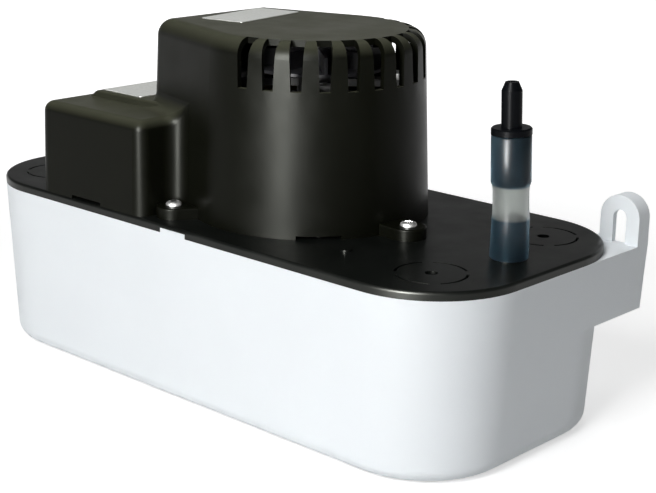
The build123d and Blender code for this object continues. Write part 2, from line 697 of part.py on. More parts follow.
def cable_grommet():
    wall_y = BOX_HALF_WIDTH - (INLET_Z - LID_TOP) * tan(radians(BOX_DRAFT))
    outside = wall_y + GROMMET_SEAT
    inside = wall_y - COVER_WALL - GROMMET_SEAT
    body = bar_y(GROMMET_RADIUS, inside - GROMMET_LIP, outside + 2 * GROMMET_LIP, INLET_X, INLET_Z)
    body += bar_y(GROMMET_FLANGE, outside, outside + GROMMET_LIP, INLET_X, INLET_Z)
    body += bar_y(GROMMET_FLANGE - 1, inside - GROMMET_LIP, inside, INLET_X, INLET_Z)
    return body - bar_y(CORD_RADIUS, inside - GROMMET_FLANGE, outside + GROMMET_FLANGE, INLET_X, INLET_Z)


def terminal_places():
    return [TERMINAL_X + step * TERMINAL_PITCH for step in (-1, 0, 1)]


def terminal_block():
    length, width, height = TERMINAL_SIZE
    body = block(TERMINAL_X - length / 2, TERMINAL_X + length / 2, TERMINAL_Y - width / 2,
                 TERMINAL_Y + width / 2, LID_TOP, LID_TOP + height)
    for x in terminal_places():
        body -= rod(TERMINAL_WELL, LID_TOP + height / 2, LID_TOP + height + 1, x, TERMINAL_Y)
        body -= bar_y(TERMINAL_WELL * 0.7, TERMINAL_Y - width, TERMINAL_Y, x, LID_TOP + height * 0.3)
    return body


def terminal_screws():
    screws = []
    height = TERMINAL_SIZE[2]
    for x in terminal_places():
        head = rod(TERMINAL_WELL - 0.2, LID_TOP + height / 2, LID_TOP + height * 0.75, x, TERMINAL_Y)
        slot = Box(2 * TERMINAL_WELL, 0.6, 1.2)
        screws.append(head - at(x, TERMINAL_Y, LID_TOP + height * 0.75) * slot)
    return group(screws)


def sticker(centre, size, turn, low):
    plate = extrude(RectangleRounded(size[0], size[1], STICKER_CORNER), STICKER_THICKNESS)
    return at(centre[0], centre[1], low) * Rot(0, 0, turn) * plate


# ---- outlet ----


def lean(solid):
    """The soft hose lets everything above the stub lean a little."""
    return solid.rotate(Axis((OUTLET_X, 0, VALVE_PIVOT), LEAN_AXIS), VALVE_LEAN)


def turned(outline):
    """A ring or plug turned about the outlet's upright axis from its half section."""
    face = Plane.XZ * make_face(outline)
    return at(OUTLET_X, 0, 0) * revolve(face, Axis.Z)


def hose_foot():
    """The upright stretch over the stub, widest at its foot."""
    inner = STUB_RADIUS + HOSE_FIT
    outer = HOSE_RADIUS
    low = LID_TOP + HOSE_SHORT
    high = VALVE_PIVOT + HOSE_MITRE
    return turned(Polyline(
        (inner, low), (outer + HOSE_FLARE, low), (outer, STUB_TOP), (outer, high), (inner, high), (inner, low)))


def hose_upper():
    """The stretch from the stub to the valve, drawn in between them to a waist."""
    inner = STUB_RADIUS + HOSE_FIT
    outer = HOSE_RADIUS
    low = VALVE_PIVOT - HOSE_MITRE
    waist_z = (VALVE_PIVOT + VALVE_BOTTOM) / 2
    high = VALVE_BOTTOM - HOSE_LIP
    start = VALVE_PIVOT + HOSE_MITRE
    outline = Curve() + [
        Line((inner, low), (outer, low)),
        Line((outer, low), (outer, start)),
        ThreePointArc((outer, start), (outer - HOSE_WAIST, waist_z), (outer, high)),
        Line((outer, high), (outer + HOSE_STRETCH, high + HOSE_STRETCH)),
        Line((outer + HOSE_STRETCH, high + HOSE_STRETCH), (outer + HOSE_STRETCH, HOSE_TOP)),
        Line((outer + HOSE_STRETCH, HOSE_TOP), (inner, HOSE_TOP)),
        Line((inner, HOSE_TOP), (inner, high)),
        ThreePointArc((inner, high), (inner - HOSE_WAIST, waist_z), (inner, start)),
        Line((inner, start), (inner, low)),
    ]
    return lean(turned(outline))


def discharge_hose():
    pivot = (OUTLET_X, 0, VALVE_PIVOT)
    half_lean = Vector(0, 0, 1).rotate(Axis((0, 0, 0), LEAN_AXIS), VALVE_LEAN / 2)
    mitre = Plane(origin=pivot, z_dir=half_lean)
    lower = split(hose_foot(), bisect_by=mitre, keep=Keep.BOTTOM)
    return lower + split(hose_upper(), bisect_by=mitre, keep=Keep.TOP)


def check_valve_body():
    chamber_low = VALVE_BOTTOM + SEAT_HEIGHT
    outline = Polyline(
        (SEAT_RADIUS + PRESS_GAP, VALVE_BOTTOM), (STUB_RADIUS - 0.6, VALVE_BOTTOM),
        (STUB_RADIUS, VALVE_BOTTOM + 1), (STUB_RADIUS, FLANGE_BOTTOM), (FLANGE_RADIUS, FLANGE_BOTTOM),
        (FLANGE_RADIUS, FLANGE_TOP - 0.5), (FLANGE_RADIUS - 0.5, FLANGE_TOP), (SPIGOT_RADIUS, FLANGE_TOP),
        (SPIGOT_RADIUS, SPIGOT_SHOULDER), (SPIGOT_TIP_RADIUS, SPIGOT_TIP), (SPIGOT_BORE, SPIGOT_TIP),
        (SPIGOT_BORE, BALL_CHAMBER_TOP + 3), (SEAT_HOLE, BALL_CHAMBER_TOP + 1),
        (BALL_CHAMBER, BALL_CHAMBER_TOP),
        (BALL_CHAMBER, chamber_low), (SEAT_RADIUS + PRESS_GAP, chamber_low),
        (SEAT_RADIUS + PRESS_GAP, VALVE_BOTTOM))
    return lean(turned(outline))


def valve_seat():
    ring = tube(SEAT_RADIUS, SEAT_HOLE, VALVE_BOTTOM, VALVE_BOTTOM + SEAT_HEIGHT, OUTLET_X)
    return lean(ring)


def valve_ball():
    lift = sqrt(BALL_RADIUS ** 2 - SEAT_HOLE ** 2) + BALL_PLAY
    return lean(at(OUTLET_X, 0, VALVE_BOTTOM + SEAT_HEIGHT + lift) * Sphere(BALL_RADIUS))


# ---- pump under the lid ----


def pump_column():
    body = tube(COLUMN_RADIUS, COLUMN_RADIUS - COLUMN_WALL, VOLUTE_TOP - 1, LID_LOW, SHAFT_X)
    body += tube(COLUMN_FLANGE_RADIUS, COLUMN_RADIUS - COLUMN_WALL, LID_LOW - COLUMN_FLANGE, LID_LOW, SHAFT_X)
    rib_top = LID_LOW - COLUMN_FLANGE
    rib = Polygon((COLUMN_RADIUS - 1, rib_top), (COLUMN_FLANGE_RADIUS - RIB_INSET, rib_top),
                  (COLUMN_RADIUS - 1, rib_top - RIB_DEPTH), align=None)
    sill = VOLUTE_TOP + WINDOW_FOOT
    for angle in (0, 120, 240):
        plate = extrude(Plane.XZ * rib, 1, both=True)
        body += at(SHAFT_X, 0, 0) * Rot(0, 0, angle) * plate
        window = block(0, COLUMN_RADIUS + 1, -WINDOW_HALF_WIDTH, WINDOW_HALF_WIDTH, sill,
                       sill + WINDOW_HEIGHT)
        body -= at(SHAFT_X, 0, 0) * Rot(0, 0, angle + 60) * window
    roof = VOLUTE_TOP - VOLUTE_WALL
    casing = rod(VOLUTE_RADIUS, VOLUTE_BOTTOM, VOLUTE_TOP, SHAFT_X)
    outlet = at((SHAFT_X + PIPE_START_X + SOCKET_DEPTH) / 2, PIPE_Y, PIPE_Z)
    reach = PIPE_START_X + SOCKET_DEPTH - SHAFT_X
    casing += outlet * Rot(0, 90, 0) * Cylinder(PIPE_RADIUS + SOCKET_WALL, reach)
    casing -= rod(VOLUTE_RADIUS - VOLUTE_WALL, VOLUTE_BOTTOM - 1, roof, SHAFT_X)
    casing -= outlet * Rot(0, 90, 0) * Cylinder(PIPE_BORE, reach + 1)
    socket = at(PIPE_START_X + SOCKET_DEPTH / 2 + 0.5, PIPE_Y, PIPE_Z) * Rot(0, 90, 0)
    casing -= socket * Cylinder(PIPE_RADIUS + PRESS_GAP, SOCKET_DEPTH + 1)
    body += casing
    body -= rod(SHAFT_RADIUS + SHAFT_HOLE_GAP, roof - 1, VOLUTE_TOP + 1, SHAFT_X)
    for x, y in column_screw_places():
        body -= rod(COLUMN_SCREW_RADIUS + PRESS_GAP, LID_LOW - COLUMN_FLANGE - 1, LID_LOW + 1, x, y)
    return body


def column_screws():
    screws = []
    for x, y in column_screw_places():
        length = COLUMN_FLANGE + COLUMN_SCREW_GRIP
        screw = pan_screw(COLUMN_SCREW_RADIUS, length, 2 * COLUMN_SCREW_RADIUS, COLUMN_SCREW_HEAD)
        screws.append(at(x, y, LID_LOW - COLUMN_FLANGE) * Rot(180, 0, 0) * screw)
    return group(screws)


def volute_cover():
    low = VOLUTE_BOTTOM - PLATE_THICKNESS
    ring = VOLUTE_RADIUS - VOLUTE_WALL - PRESS_GAP
    body = tube(VOLUTE_RADIUS, INLET_EYE, low, VOLUTE_BOTTOM, SHAFT_X)
    body += tube(ring, ring - 1.6, VOLUTE_BOTTOM, VOLUTE_BOTTOM + 2.5, SHAFT_X)
    strainer = tube(INLET_EYE + 5, INLET_EYE + 3, low - FOOT_LENGTH, low, SHAFT_X)
    for step in range(STRAINER_SLOTS // 2):
        slot = block(-2 * INLET_EYE, 2 * INLET_EYE, -1.5, 1.5, low - FOOT_LENGTH - 1, low - 1)
        strainer -= at(SHAFT_X, 0, 0) * Rot(0, 0, step * 360 / STRAINER_SLOTS) * slot
    return body + strainer


def impeller():
    low = VOLUTE_BOTTOM + IMPELLER_GAP
    high = VOLUTE_TOP - VOLUTE_WALL - IMPELLER_GAP
    body = rod(HUB_RADIUS, low, high)
    body += rod(IMPELLER_RADIUS, high - IMPELLER_DISC, high)
    start = (HUB_RADIUS - 1, 0)
    middle = (IMPELLER_RADIUS * VANE_MIDDLE[0], IMPELLER_RADIUS * VANE_MIDDLE[1])
    end = (IMPELLER_RADIUS * VANE_END[0], IMPELLER_RADIUS * VANE_END[1])
    vane = extrude(at(0, 0, low) * trace(ThreePointArc(start, middle, end), VANE_THICKNESS), high - low - 0.5)
    for step in range(VANE_COUNT):
        body += Rot(0, 0, step * 360 / VANE_COUNT) * vane
    return at(SHAFT_X, 0, 0) * (body - rod(SHAFT_RADIUS, low - 1, high + 1))


def discharge_pipe():
    route = FilletPolyline((PIPE_START_X, PIPE_Y, PIPE_Z), (OUTLET_X - PIPE_Y, PIPE_Y, PIPE_Z),
                           (OUTLET_X, 0, PIPE_Z + 0.9 * PIPE_Y), (OUTLET_X, 0, PIPE_END_Z), radius=PIPE_BEND)
    end = Plane(origin=route @ 0, z_dir=route % 0)
    return sweep(end * Circle(PIPE_RADIUS), route) - sweep(end * Circle(PIPE_BORE), route)


# ---- motor ----


def shaft():
    return rod(SHAFT_RADIUS, SHAFT_LOW, SHAFT_TOP, SHAFT_X)


def shaft_slinger():
    low = LID_TOP + SLINGER_LIFT
    high = low + 2 * SLINGER_DISC
    body = rod(3 * SHAFT_RADIUS, low, low + SLINGER_DISC, SHAFT_X) + rod(2 * SHAFT_RADIUS, low, high, SHAFT_X)
    return body - rod(SHAFT_RADIUS, low - 1, high + 1, SHAFT_X)


def bracket(plate_low, leg_low, boss_low):
    """A cast spider: four arms to the legs and a boss for the bearing."""
    body = rod(BEARING_BOSS, boss_low, boss_low + BEARING_LENGTH, SHAFT_X)
    reach = sqrt(BOLT_PITCH_X ** 2 + BOLT_PITCH_Y ** 2)
    turn = degrees(asin(BOLT_PITCH_Y / reach))
    half = BRACKET_ARM / 2
    for angle in (turn, -turn, 180 - turn, 180 + turn):
        arm = block(0, reach, -half, half, plate_low, plate_low + BRACKET_THICKNESS)
        body += at(SHAFT_X, 0, 0) * Rot(0, 0, angle) * arm
    for x, y in bolt_places():
        body += rod(BRACKET_LEG_RADIUS, plate_low, plate_low + BRACKET_THICKNESS, x, y)
        body += rod(BRACKET_LEG_RADIUS, leg_low, leg_low + BRACKET_LEG, x, y)
        body -= rod(BOLT_RADIUS + PRESS_GAP, LID_TOP, COVER_TOP, x, y)
    return body - rod(BEARING_RADIUS, LID_TOP, COVER_TOP, SHAFT_X)


def lower_bracket():
    return bracket(BRACKET_LOW, BRACKET_LOW + BRACKET_THICKNESS, LOWER_BOSS_LOW)


def upper_bracket():
    return bracket(BRACKET_HIGH, STACK_TOP, UPPER_BOSS_TOP - BEARING_LENGTH)


def bearing(low):
    return tube(BEARING_RADIUS, SHAFT_RADIUS + RUNNING_GAP, low, low + BEARING_LENGTH, SHAFT_X)


def stator_laminations():
    low = STACK_LOW - 1
    high = STACK_TOP + 1
    body = block(STACK_END_X, SHAFT_X + STACK_HALF_Y, -STACK_HALF_Y, STACK_HALF_Y, STACK_LOW, STACK_TOP)
    body -= block(STACK_END_X + COIL_LEG, WINDOW_X, -WINDOW_HALF_Y, WINDOW_HALF_Y, low, high)
    shoulder = WINDOW_HALF_Y + STACK_SHOULDER
    for side in (-1, 1):
        middle = side * (shoulder + STACK_HALF_Y + 1) / 2
        half = (STACK_HALF_Y + 1 - shoulder) / 2
        body -= block(STACK_END_X - 1, STACK_END_X + COIL_LEG / 2, middle - half, middle + half, low, high)
    body -= rod(ROTOR_RADIUS + AIR_GAP, STACK_LOW - 1, STACK_TOP + 1, SHAFT_X)
    for x, y in bolt_places():
        body -= rod(BOLT_RADIUS + BOLT_HOLE_GAP, STACK_LOW - 1, STACK_TOP + 1, x, y)
    return body


def coil_shape(grow, half_y):
    return block(STACK_END_X - grow, STACK_END_X + COIL_LEG + grow, -half_y, half_y,
                 STACK_LOW - grow, STACK_TOP + grow)


def coil_bobbin():
    half = WINDOW_HALF_Y - BOBBIN_GAP
    tube_grow = BOBBIN_GAP + BOBBIN_WALL
    body = coil_shape(tube_grow, half)
    for side in (-1, 1):
        middle = side * (half - BOBBIN_FLANGE / 2)
        body += at(0, middle, 0) * coil_shape(tube_grow + COIL_DEPTH, BOBBIN_FLANGE / 2)
    return body - coil_shape(BOBBIN_GAP, half + 1)


def coil_winding():
    tube_grow = BOBBIN_GAP + BOBBIN_WALL
    half = WINDOW_HALF_Y - BOBBIN_GAP - BOBBIN_FLANGE
    body = coil_shape(tube_grow + COIL_DEPTH - 1, half)
    body = fillet(body.edges().filter_by(Axis.Y), COIL_ROUNDING)
    return body - coil_shape(tube_grow, half + 1)


def rotor_core():
    body = rod(ROTOR_RADIUS, STACK_LOW - 1, STACK_TOP + 1, SHAFT_X)
    body += rod(ROTOR_RADIUS - 2, STACK_LOW - 1 - END_RING, STACK_TOP + 1 + END_RING, SHAFT_X)
    return body - rod(SHAFT_RADIUS, LID_TOP, COVER_TOP, SHAFT_X)


def motor_screws():
    screws = []
    length = BRACKET_TOP - LID_LOW - 0.6
    for x, y in bolt_places():
        screw = pan_screw(BOLT_RADIUS, length, BOLT_HEAD_RADIUS, BOLT_HEAD)
        screws.append(at(x, y, BRACKET_TOP) * screw)
    return group(screws)


def rubber_mounts():
    rings = []
    for x, y in bolt_places():
        rings.append(tube(RUBBER_RADIUS, BOLT_RADIUS + PRESS_GAP, MOTOR_FOOT, BRACKET_LOW, x, y))
    return group(rings)


def cooling_fan():
    body = rod(2 * SHAFT_RADIUS, FAN_LOW, FAN_LOW + FAN_HEIGHT)
    body += rod(FAN_RADIUS, FAN_LOW, FAN_LOW + FAN_PLATE)
    blade = block(SHAFT_RADIUS + 1, FAN_RADIUS, -FAN_PLATE / 2, FAN_PLATE / 2, FAN_LOW, FAN_LOW + FAN_HEIGHT)
    for step in range(FAN_BLADES):
        body += Rot(0, 0, step * 360 / FAN_BLADES) * blade
    return at(SHAFT_X, 0, 0) * (body - rod(SHAFT_RADIUS, FAN_LOW - 1, FAN_LOW + FAN_HEIGHT + 1))


# ---- float and switches ----


def float_block():
    x = FLOAT_X
    body = block(x - FLOAT_LENGTH / 2, x + FLOAT_LENGTH / 2, -FLOAT_WIDTH / 2, FLOAT_WIDTH / 2,
                 FLOAT_BOTTOM, FLOAT_BOTTOM + FLOAT_HEIGHT)
    return fillet(body.edges(), FLOAT_FILLET)


def float_arm():
    half = ARM_THICKNESS / 2
    width = ARM_HALF_WIDTH
    low = ARM_PIVOT_Z - half
    high = ARM_PIVOT_Z + half
    body = block(FLOAT_X - width, PIVOT_X, -width, width, low, high)
    body += block(PIVOT_X, PIVOT_X + ARM_TAIL, -width, width, low, high)
    body += bar_y(2 * half, -width, width, PIVOT_X, ARM_PIVOT_Z)
    body += block(FLOAT_X - width, FLOAT_X + width, -width, width, FLOAT_BOTTOM + FLOAT_HEIGHT, low)
    return body - bar_y(PIN_RADIUS + RUNNING_GAP, -width - 1, width + 1, PIVOT_X, ARM_PIVOT_Z)


def float_bracket():
    inner = ARM_HALF_WIDTH + CHEEK_GAP
    outer = inner + CHEEK
    plate_low = LID_LOW - CHEEK
    start = PIVOT_X - ARM_TAIL
    end = PIVOT_X + ARM_TAIL
    body = block(start, end + CHEEK, -outer - CHEEK, outer + CHEEK, plate_low, LID_LOW)
    for side in (-1, 1):
        cheek = block(PIVOT_X - CHEEK_MARGIN, end, -CHEEK / 2, CHEEK / 2,
                      ARM_PIVOT_Z - CHEEK_MARGIN, plate_low)
        body += at(0, side * (inner + outer) / 2, 0) * cheek
    stop_low = ARM_PIVOT_Z + ARM_THICKNESS / 2 + ROD_PLAY
    body += block(end - STOP_LENGTH, end, -outer, outer, stop_low, stop_low + CHEEK)
    return body - bar_y(PIN_RADIUS, -outer - 1, outer + 1, PIVOT_X, ARM_PIVOT_Z)


def float_pivot_pin():
    reach = ARM_HALF_WIDTH + CHEEK_GAP + CHEEK + 1
    body = bar_y(PIN_RADIUS, -reach, reach, PIVOT_X, ARM_PIVOT_Z)
    return body + bar_y(2 * PIN_RADIUS, reach - 1, reach, PIVOT_X, ARM_PIVOT_Z)


def actuator_rod():
    """The push rod: a rounded foot on the float arm and a cross head with two rounded tips."""
    foot = at(ROD_X, 0, ROD_LOW) * cone_up(ROD_TIP, ROD_RADIUS, ROD_FOOT)
    body = foot + rod(ROD_RADIUS, ROD_LOW + ROD_FOOT, ROD_HEAD_TOP, ROD_X)
    reach = SWITCH_Y + ROD_RADIUS
    body += block(ROD_X - ROD_HEAD_HALF, ROD_X + ROD_HEAD_HALF, -reach, reach,
                  ROD_HEAD_TOP - ROD_HEAD, ROD_HEAD_TOP)
    for side in (-1, 1):
        tip = cone_up(ROD_FOOT, ROD_TIP, ROD_HIGH - ROD_HEAD_TOP)
        body += at(ROD_X, side * SWITCH_Y, ROD_HEAD_TOP) * tip
    return body


def cone_up(low_radius, high_radius, height):
    return at(0, 0, height / 2) * Cone(low_radius, high_radius, height)


def switch_bracket():
    start = ROD_X + BRACKET_INSET
    end = LEVER_PIVOT_X + SWITCH_LAP
    body = block(start, end, -BRACKET_FOOT_HALF, BRACKET_FOOT_HALF, LID_TOP, LID_TOP + SWITCH_PLATE)
    body += block(start, end, -SWITCH_PLATE / 2, SWITCH_PLATE / 2, LID_TOP, SWITCH_LOW + SWITCH_HEIGHT)
    for x, z in switch_screw_places():
        body -= bar_y(SWITCH_SCREW + PRESS_GAP, -SWITCH_PLATE, SWITCH_PLATE, x, z)
    return body


def switch_screw_places():
    far = (SWITCH_END_X + SWITCH_HOLE_FAR[0], SWITCH_LOW + SWITCH_HOLE_FAR[1])
    near = (LEVER_PIVOT_X - SWITCH_HOLE_NEAR[0], SWITCH_LOW + SWITCH_HOLE_NEAR[1])
    return [far, near]


def switch_body(side):
    y = side * SWITCH_Y
    half = SWITCH_WIDTH / 2
    body = block(SWITCH_END_X, SWITCH_END_X + SWITCH_LENGTH, y - half, y + half, SWITCH_LOW,
                 SWITCH_LOW + SWITCH_HEIGHT)
    ear_in = LEVER_WIDTH / 2 + CHEEK_GAP
    for edge in (-1, 1):
        middle = y + edge * (ear_in + LEVER_EAR / 2)
        body += block(LEVER_PIVOT_X - LEVER_EAR_HALF, LEVER_PIVOT_X + LEVER_EAR_HALF,
                      middle - LEVER_EAR / 2, middle + LEVER_EAR / 2, LEVER_Z - LEVER_EAR_HALF, SWITCH_LOW)
    body += bar_y(LEVER_PIN, y - ear_in, y + ear_in, LEVER_PIVOT_X, LEVER_Z)
    well_top = BUTTON_TOP + BUTTON_TRAVEL + BUTTON_PLAY
    body -= rod(BUTTON_RADIUS + CHEEK_GAP, SWITCH_LOW - 1, well_top, BUTTON_X, y)
    for x, z in switch_screw_places():
        body -= bar_y(SWITCH_SCREW + PRESS_GAP, y - half - 1, y + half + 1, x, z)
    return body


def switch_lever(side):
    y = side * SWITCH_Y
    half_thick = LEVER_THICKNESS / 2
    body = block(ROD_X - ROD_HEAD_HALF, LEVER_PIVOT_X, y - LEVER_WIDTH / 2, y + LEVER_WIDTH / 2,
                 LEVER_Z - half_thick, LEVER_Z + half_thick)
    body += bar_y(LEVER_PIN + 0.7, y - LEVER_WIDTH / 2, y + LEVER_WIDTH / 2, LEVER_PIVOT_X, LEVER_Z)
    body -= bar_y(LEVER_PIN + RUNNING_GAP, y - LEVER_WIDTH, y + LEVER_WIDTH, LEVER_PIVOT_X, LEVER_Z)
    return body.rotate(Axis((LEVER_PIVOT_X, 0, LEVER_Z), (0, 1, 0)), -LEVER_DROP)


def switch_button(side):
    return rod(BUTTON_RADIUS, BUTTON_BOTTOM, BUTTON_TOP, BUTTON_X, side * SWITCH_Y)


def switch_screws():
    screws = []
    reach = SWITCH_Y + SWITCH_WIDTH / 2
    for x, z in switch_screw_places():
        body = bar_y(SWITCH_SCREW, -reach, reach, x, z)
        for side in (-1, 1):
            middle = side * (reach + SWITCH_HEAD / 2)
            body += bar_y(2 * SWITCH_SCREW, middle - SWITCH_HEAD / 2, middle + SWITCH_HEAD / 2, x, z)
        screws.append(body)
    return group(screws)


NODES = {
    "tank": tank,
    "lid": lid,
    "motor_cover": motor_cover,
    "cover_screws": cover_screws,
    "cable_grommet": cable_grommet,
    "terminal_block": terminal_block,
    "terminal_screws": terminal_screws,
    "discharge_hose": discharge_hose,
    "check_valve_body": check_valve_body,
    "valve_seat": valve_seat,
    "valve_ball": valve_ball,
    "pump_column": pump_column,
    "column_screws": column_screws,
    "volute_cover": volute_cover,
    "impeller": impeller,
    "discharge_pipe": discharge_pipe,
    "shaft": shaft,
    "shaft_slinger": shaft_slinger,
    "lower_bracket": lower_bracket,
    "upper_bracket": upper_bracket,
    "stator_laminations": stator_laminations,
    "coil_bobbin": coil_bobbin,
    "coil_winding": coil_winding,
    "rotor_core": rotor_core,
    "motor_screws": motor_screws,
    "rubber_mounts": rubber_mounts,
    "cooling_fan": cooling_fan,
    "float_block": float_block,
    "float_arm": float_arm,
    "float_bracket": float_bracket,
    "float_pivot_pin": float_pivot_pin,
    "actuator_rod": actuator_rod,
    "switch_bracket": switch_bracket,
    "switch_screws": switch_screws,
}


def main():
    for name, make in NODES.items():
        write(make(), name)
    write(bearing(LOWER_BOSS_LOW), "lower_bearing")
    write(bearing(UPPER_BOSS_TOP - BEARING_LENGTH), "upper_bearing")
    write(sticker(TOP_STICKER_CENTRE, TOP_STICKER_SIZE, TOP_STICKER_TURN, COVER_TOP), "top_sticker")
    write(sticker((SIDE_STICKER_X, 0), SIDE_STICKER_SIZE, 0, BOX_PAD_TOP), "side_sticker")
    for side, name in ((-1, "run"), (1, "safety")):
        write(switch_body(side), name + "_switch")
        write(switch_lever(side), name + "_switch_lever")
        write(switch_button(side), name + "_switch_button")


main()
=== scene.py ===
import json
import math

import bmesh
import bpy
from mathutils import Matrix, Vector


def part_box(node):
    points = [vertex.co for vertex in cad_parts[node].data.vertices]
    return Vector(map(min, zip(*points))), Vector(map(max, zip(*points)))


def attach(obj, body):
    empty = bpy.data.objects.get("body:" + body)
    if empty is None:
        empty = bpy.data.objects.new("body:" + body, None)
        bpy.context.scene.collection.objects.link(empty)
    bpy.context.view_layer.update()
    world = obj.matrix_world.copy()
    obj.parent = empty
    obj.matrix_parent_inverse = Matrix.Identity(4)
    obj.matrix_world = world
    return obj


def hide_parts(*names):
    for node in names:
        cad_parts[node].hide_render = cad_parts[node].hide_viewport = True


bl_info = {
    "name": "Condensate Tank Pump",
    "version": (1, 0, 0),
    "blender": (4, 5, 0),
    "location": "View3D > Sidebar > Tank Pump",
    "description": "Dresses the condensate tank pump with its moulded, metal and clear finishes",
    "category": "Object",
}

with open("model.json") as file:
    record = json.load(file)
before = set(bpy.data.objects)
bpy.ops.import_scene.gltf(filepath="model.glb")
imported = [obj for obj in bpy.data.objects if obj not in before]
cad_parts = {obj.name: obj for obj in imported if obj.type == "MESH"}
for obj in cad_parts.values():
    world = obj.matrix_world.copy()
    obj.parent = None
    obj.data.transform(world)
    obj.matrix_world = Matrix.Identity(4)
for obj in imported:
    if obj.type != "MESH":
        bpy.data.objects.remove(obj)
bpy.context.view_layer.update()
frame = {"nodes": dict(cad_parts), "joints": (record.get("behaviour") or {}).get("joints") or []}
MM = 0.001
TOUCH = 1e-6
WHITE = (1, 1, 1, 1)

FLOOR_RADIUS = 6.0
FLOOR_DROP = 0.4 * MM
FLOOR_COLOUR = (0.62, 0.62, 0.62)
FLOOR_GLOW = (0.55, 1.05)
FLOOR_GLOW_REACH = (0.25, 0.9)

# Size, distance from the camera's target, azimuth and elevation in degrees
LAMPS = {
    "key": ((0.34, 0.34), 0.95, 17, 36),
    "fill": ((0.9, 0.9), 1.4, 105, 30),
    "top": ((0.8, 0.8), 1.3, -40, 78),
    "strip": ((0.15, 0.5), 0.8, 17, 16),
    "rear": ((0.9, 0.9), 1.3, 205, 42),
}

PLAIN_BLACK = (0.03, 0.03, 0.032)
SWITCH_BLACK = (0.03, 0.03, 0.036)
BUTTON_IVORY = (0.66, 0.63, 0.52)
ROD_NYLON = (0.66, 0.65, 0.58)
FOAM_CREAM = (0.74, 0.72, 0.64)
SHEET_STEEL = (0.10, 0.10, 0.11)
TAPE_BROWN = (0.16, 0.11, 0.035)
BRONZE = (0.16, 0.10, 0.05)

RECESS_TURN = 0.4
HOSE_FIT = 0.02 * MM
LEAN_RUN = 4 * MM
# Height over which the painted sheen on the cover's upward faces fades in.
SHEEN_RISE = 15 * MM


# ---------------------------------------------------------------- settings

class PumpColours(bpy.types.PropertyGroup):
    tank: bpy.props.FloatVectorProperty(
        name="Tank", description="Natural white of the moulded tank",
        subtype="COLOR", size=3, min=0, max=1, default=(0.80, 0.835, 0.86))
    lid: bpy.props.FloatVectorProperty(
        name="Lid", description="Black of the lid moulding",
        subtype="COLOR", size=3, min=0, max=1, default=(0.0026, 0.0034, 0.0030))
    cover: bpy.props.FloatVectorProperty(
        name="Motor cover", description="Black of the motor cover moulding",
        subtype="COLOR", size=3, min=0, max=1, default=(0.0026, 0.0029, 0.0012))
    valve: bpy.props.FloatVectorProperty(
        name="Valve", description="Black of the check valve",
        subtype="COLOR", size=3, min=0, max=1, default=(0.003, 0.0035, 0.0045))
    hose: bpy.props.FloatVectorProperty(
        name="Hose", description="Tint of the clear hose",
        subtype="COLOR", size=3, min=0, max=1, default=(0.52, 0.54, 0.525))
    # Colour of the painted shade on the hose where it lies over the black stub and valve.
    hose_painted_shade: bpy.props.FloatVectorProperty(
        name="Hose where it clings",
        description="Blue cast of the hose over the stub and the valve",
        subtype="COLOR", size=3, min=0, max=1, default=(0.085, 0.145, 0.185))
    steel: bpy.props.FloatVectorProperty(
        name="Screws", description="Bright zinc plate of the screws",
        subtype="COLOR", size=3, min=0, max=1, default=(0.40, 0.40, 0.39))
    # Colour of the painted sheen: a lighter tone painted on the motor cover's upward faces, a
    # painted highlight.
    top_sheen_colour: bpy.props.FloatVectorProperty(
        name="Painted_sheen", description="Bloom on the upward faces of the motor cover",
        subtype="COLOR", size=3, min=0, max=1, default=(0.055, 0.057, 0.038))
    inside: bpy.props.FloatVectorProperty(
        name="Inner plastics", description="Dark nylon of the fan, bobbin and terminal block",
        subtype="COLOR", size=3, min=0, max=1, default=(0.022, 0.022, 0.026))
    sticker: bpy.props.FloatVectorProperty(
        name="Stickers", description="Bare silvered film of the stickers",
        subtype="COLOR", size=3, min=0, max=1, default=(0.66, 0.67, 0.64))


class StageSettings(bpy.types.PropertyGroup):
    azimuth: bpy.props.FloatProperty(
        name="Camera azimuth",
        description="Turn of the camera from the front towards the outlet end",
        subtype="ANGLE", default=math.radians(42.884))
    elevation: bpy.props.FloatProperty(
        name="Camera elevation", description="Height of the camera above the level",
        subtype="ANGLE", default=math.radians(16.279))
    roll: bpy.props.FloatProperty(
        name="Camera roll", description="Tilt of the camera about its own axis",
        subtype="ANGLE", default=math.radians(0.7586))
    distance: bpy.props.FloatProperty(
        name="Camera distance", description="Distance from the camera to its target",
        subtype="DISTANCE", unit="LENGTH", default=0.67358)
    target: bpy.props.FloatVectorProperty(
        name="Camera target", description="Point that the camera looks at",
        subtype="TRANSLATION", unit="LENGTH", size=3, default=(0.00523, 0.02328, 0.05179))
    lens: bpy.props.FloatProperty(
        name="Lens", description="Focal length on a 36 mm wide sensor, in millimetres",
        min=10, default=83.70)
    key_power: bpy.props.FloatProperty(
        name="Key lamp", description="Power of the main lamp in front",
        unit="POWER", min=0, default=6.9)
    fill_power: bpy.props.FloatProperty(
        name="Fill lamp", description="Power of the soft lamp over the outlet end",
        unit="POWER", min=0, default=0.3)
    rear_power: bpy.props.FloatProperty(
        name="Rear lamp", description="Power of the soft lamp on the wall side",
        unit="POWER", min=0, default=5.0)
    strip_power: bpy.props.FloatProperty(
        name="Strip lamp", description="Power of the upright strip that only glossy surfaces show",
        unit="POWER", min=0, default=48.0)
    top_power: bpy.props.FloatProperty(
        name="Top lamp", description="Power of the lamp overhead",
        unit="POWER", min=0, default=2.0)
    ambient: bpy.props.FloatProperty(
        name="Ambient", description="Level of the light from all around",
        min=0, default=0.10)
    sweep_low: bpy.props.FloatProperty(
        name="Sweep low", description="Height in degrees up to which the backdrop is white",
        default=3.0)
    sweep_high: bpy.props.FloatProperty(
        name="Sweep high", description="Height in degrees at which the backdrop has faded out",
        default=11.0)


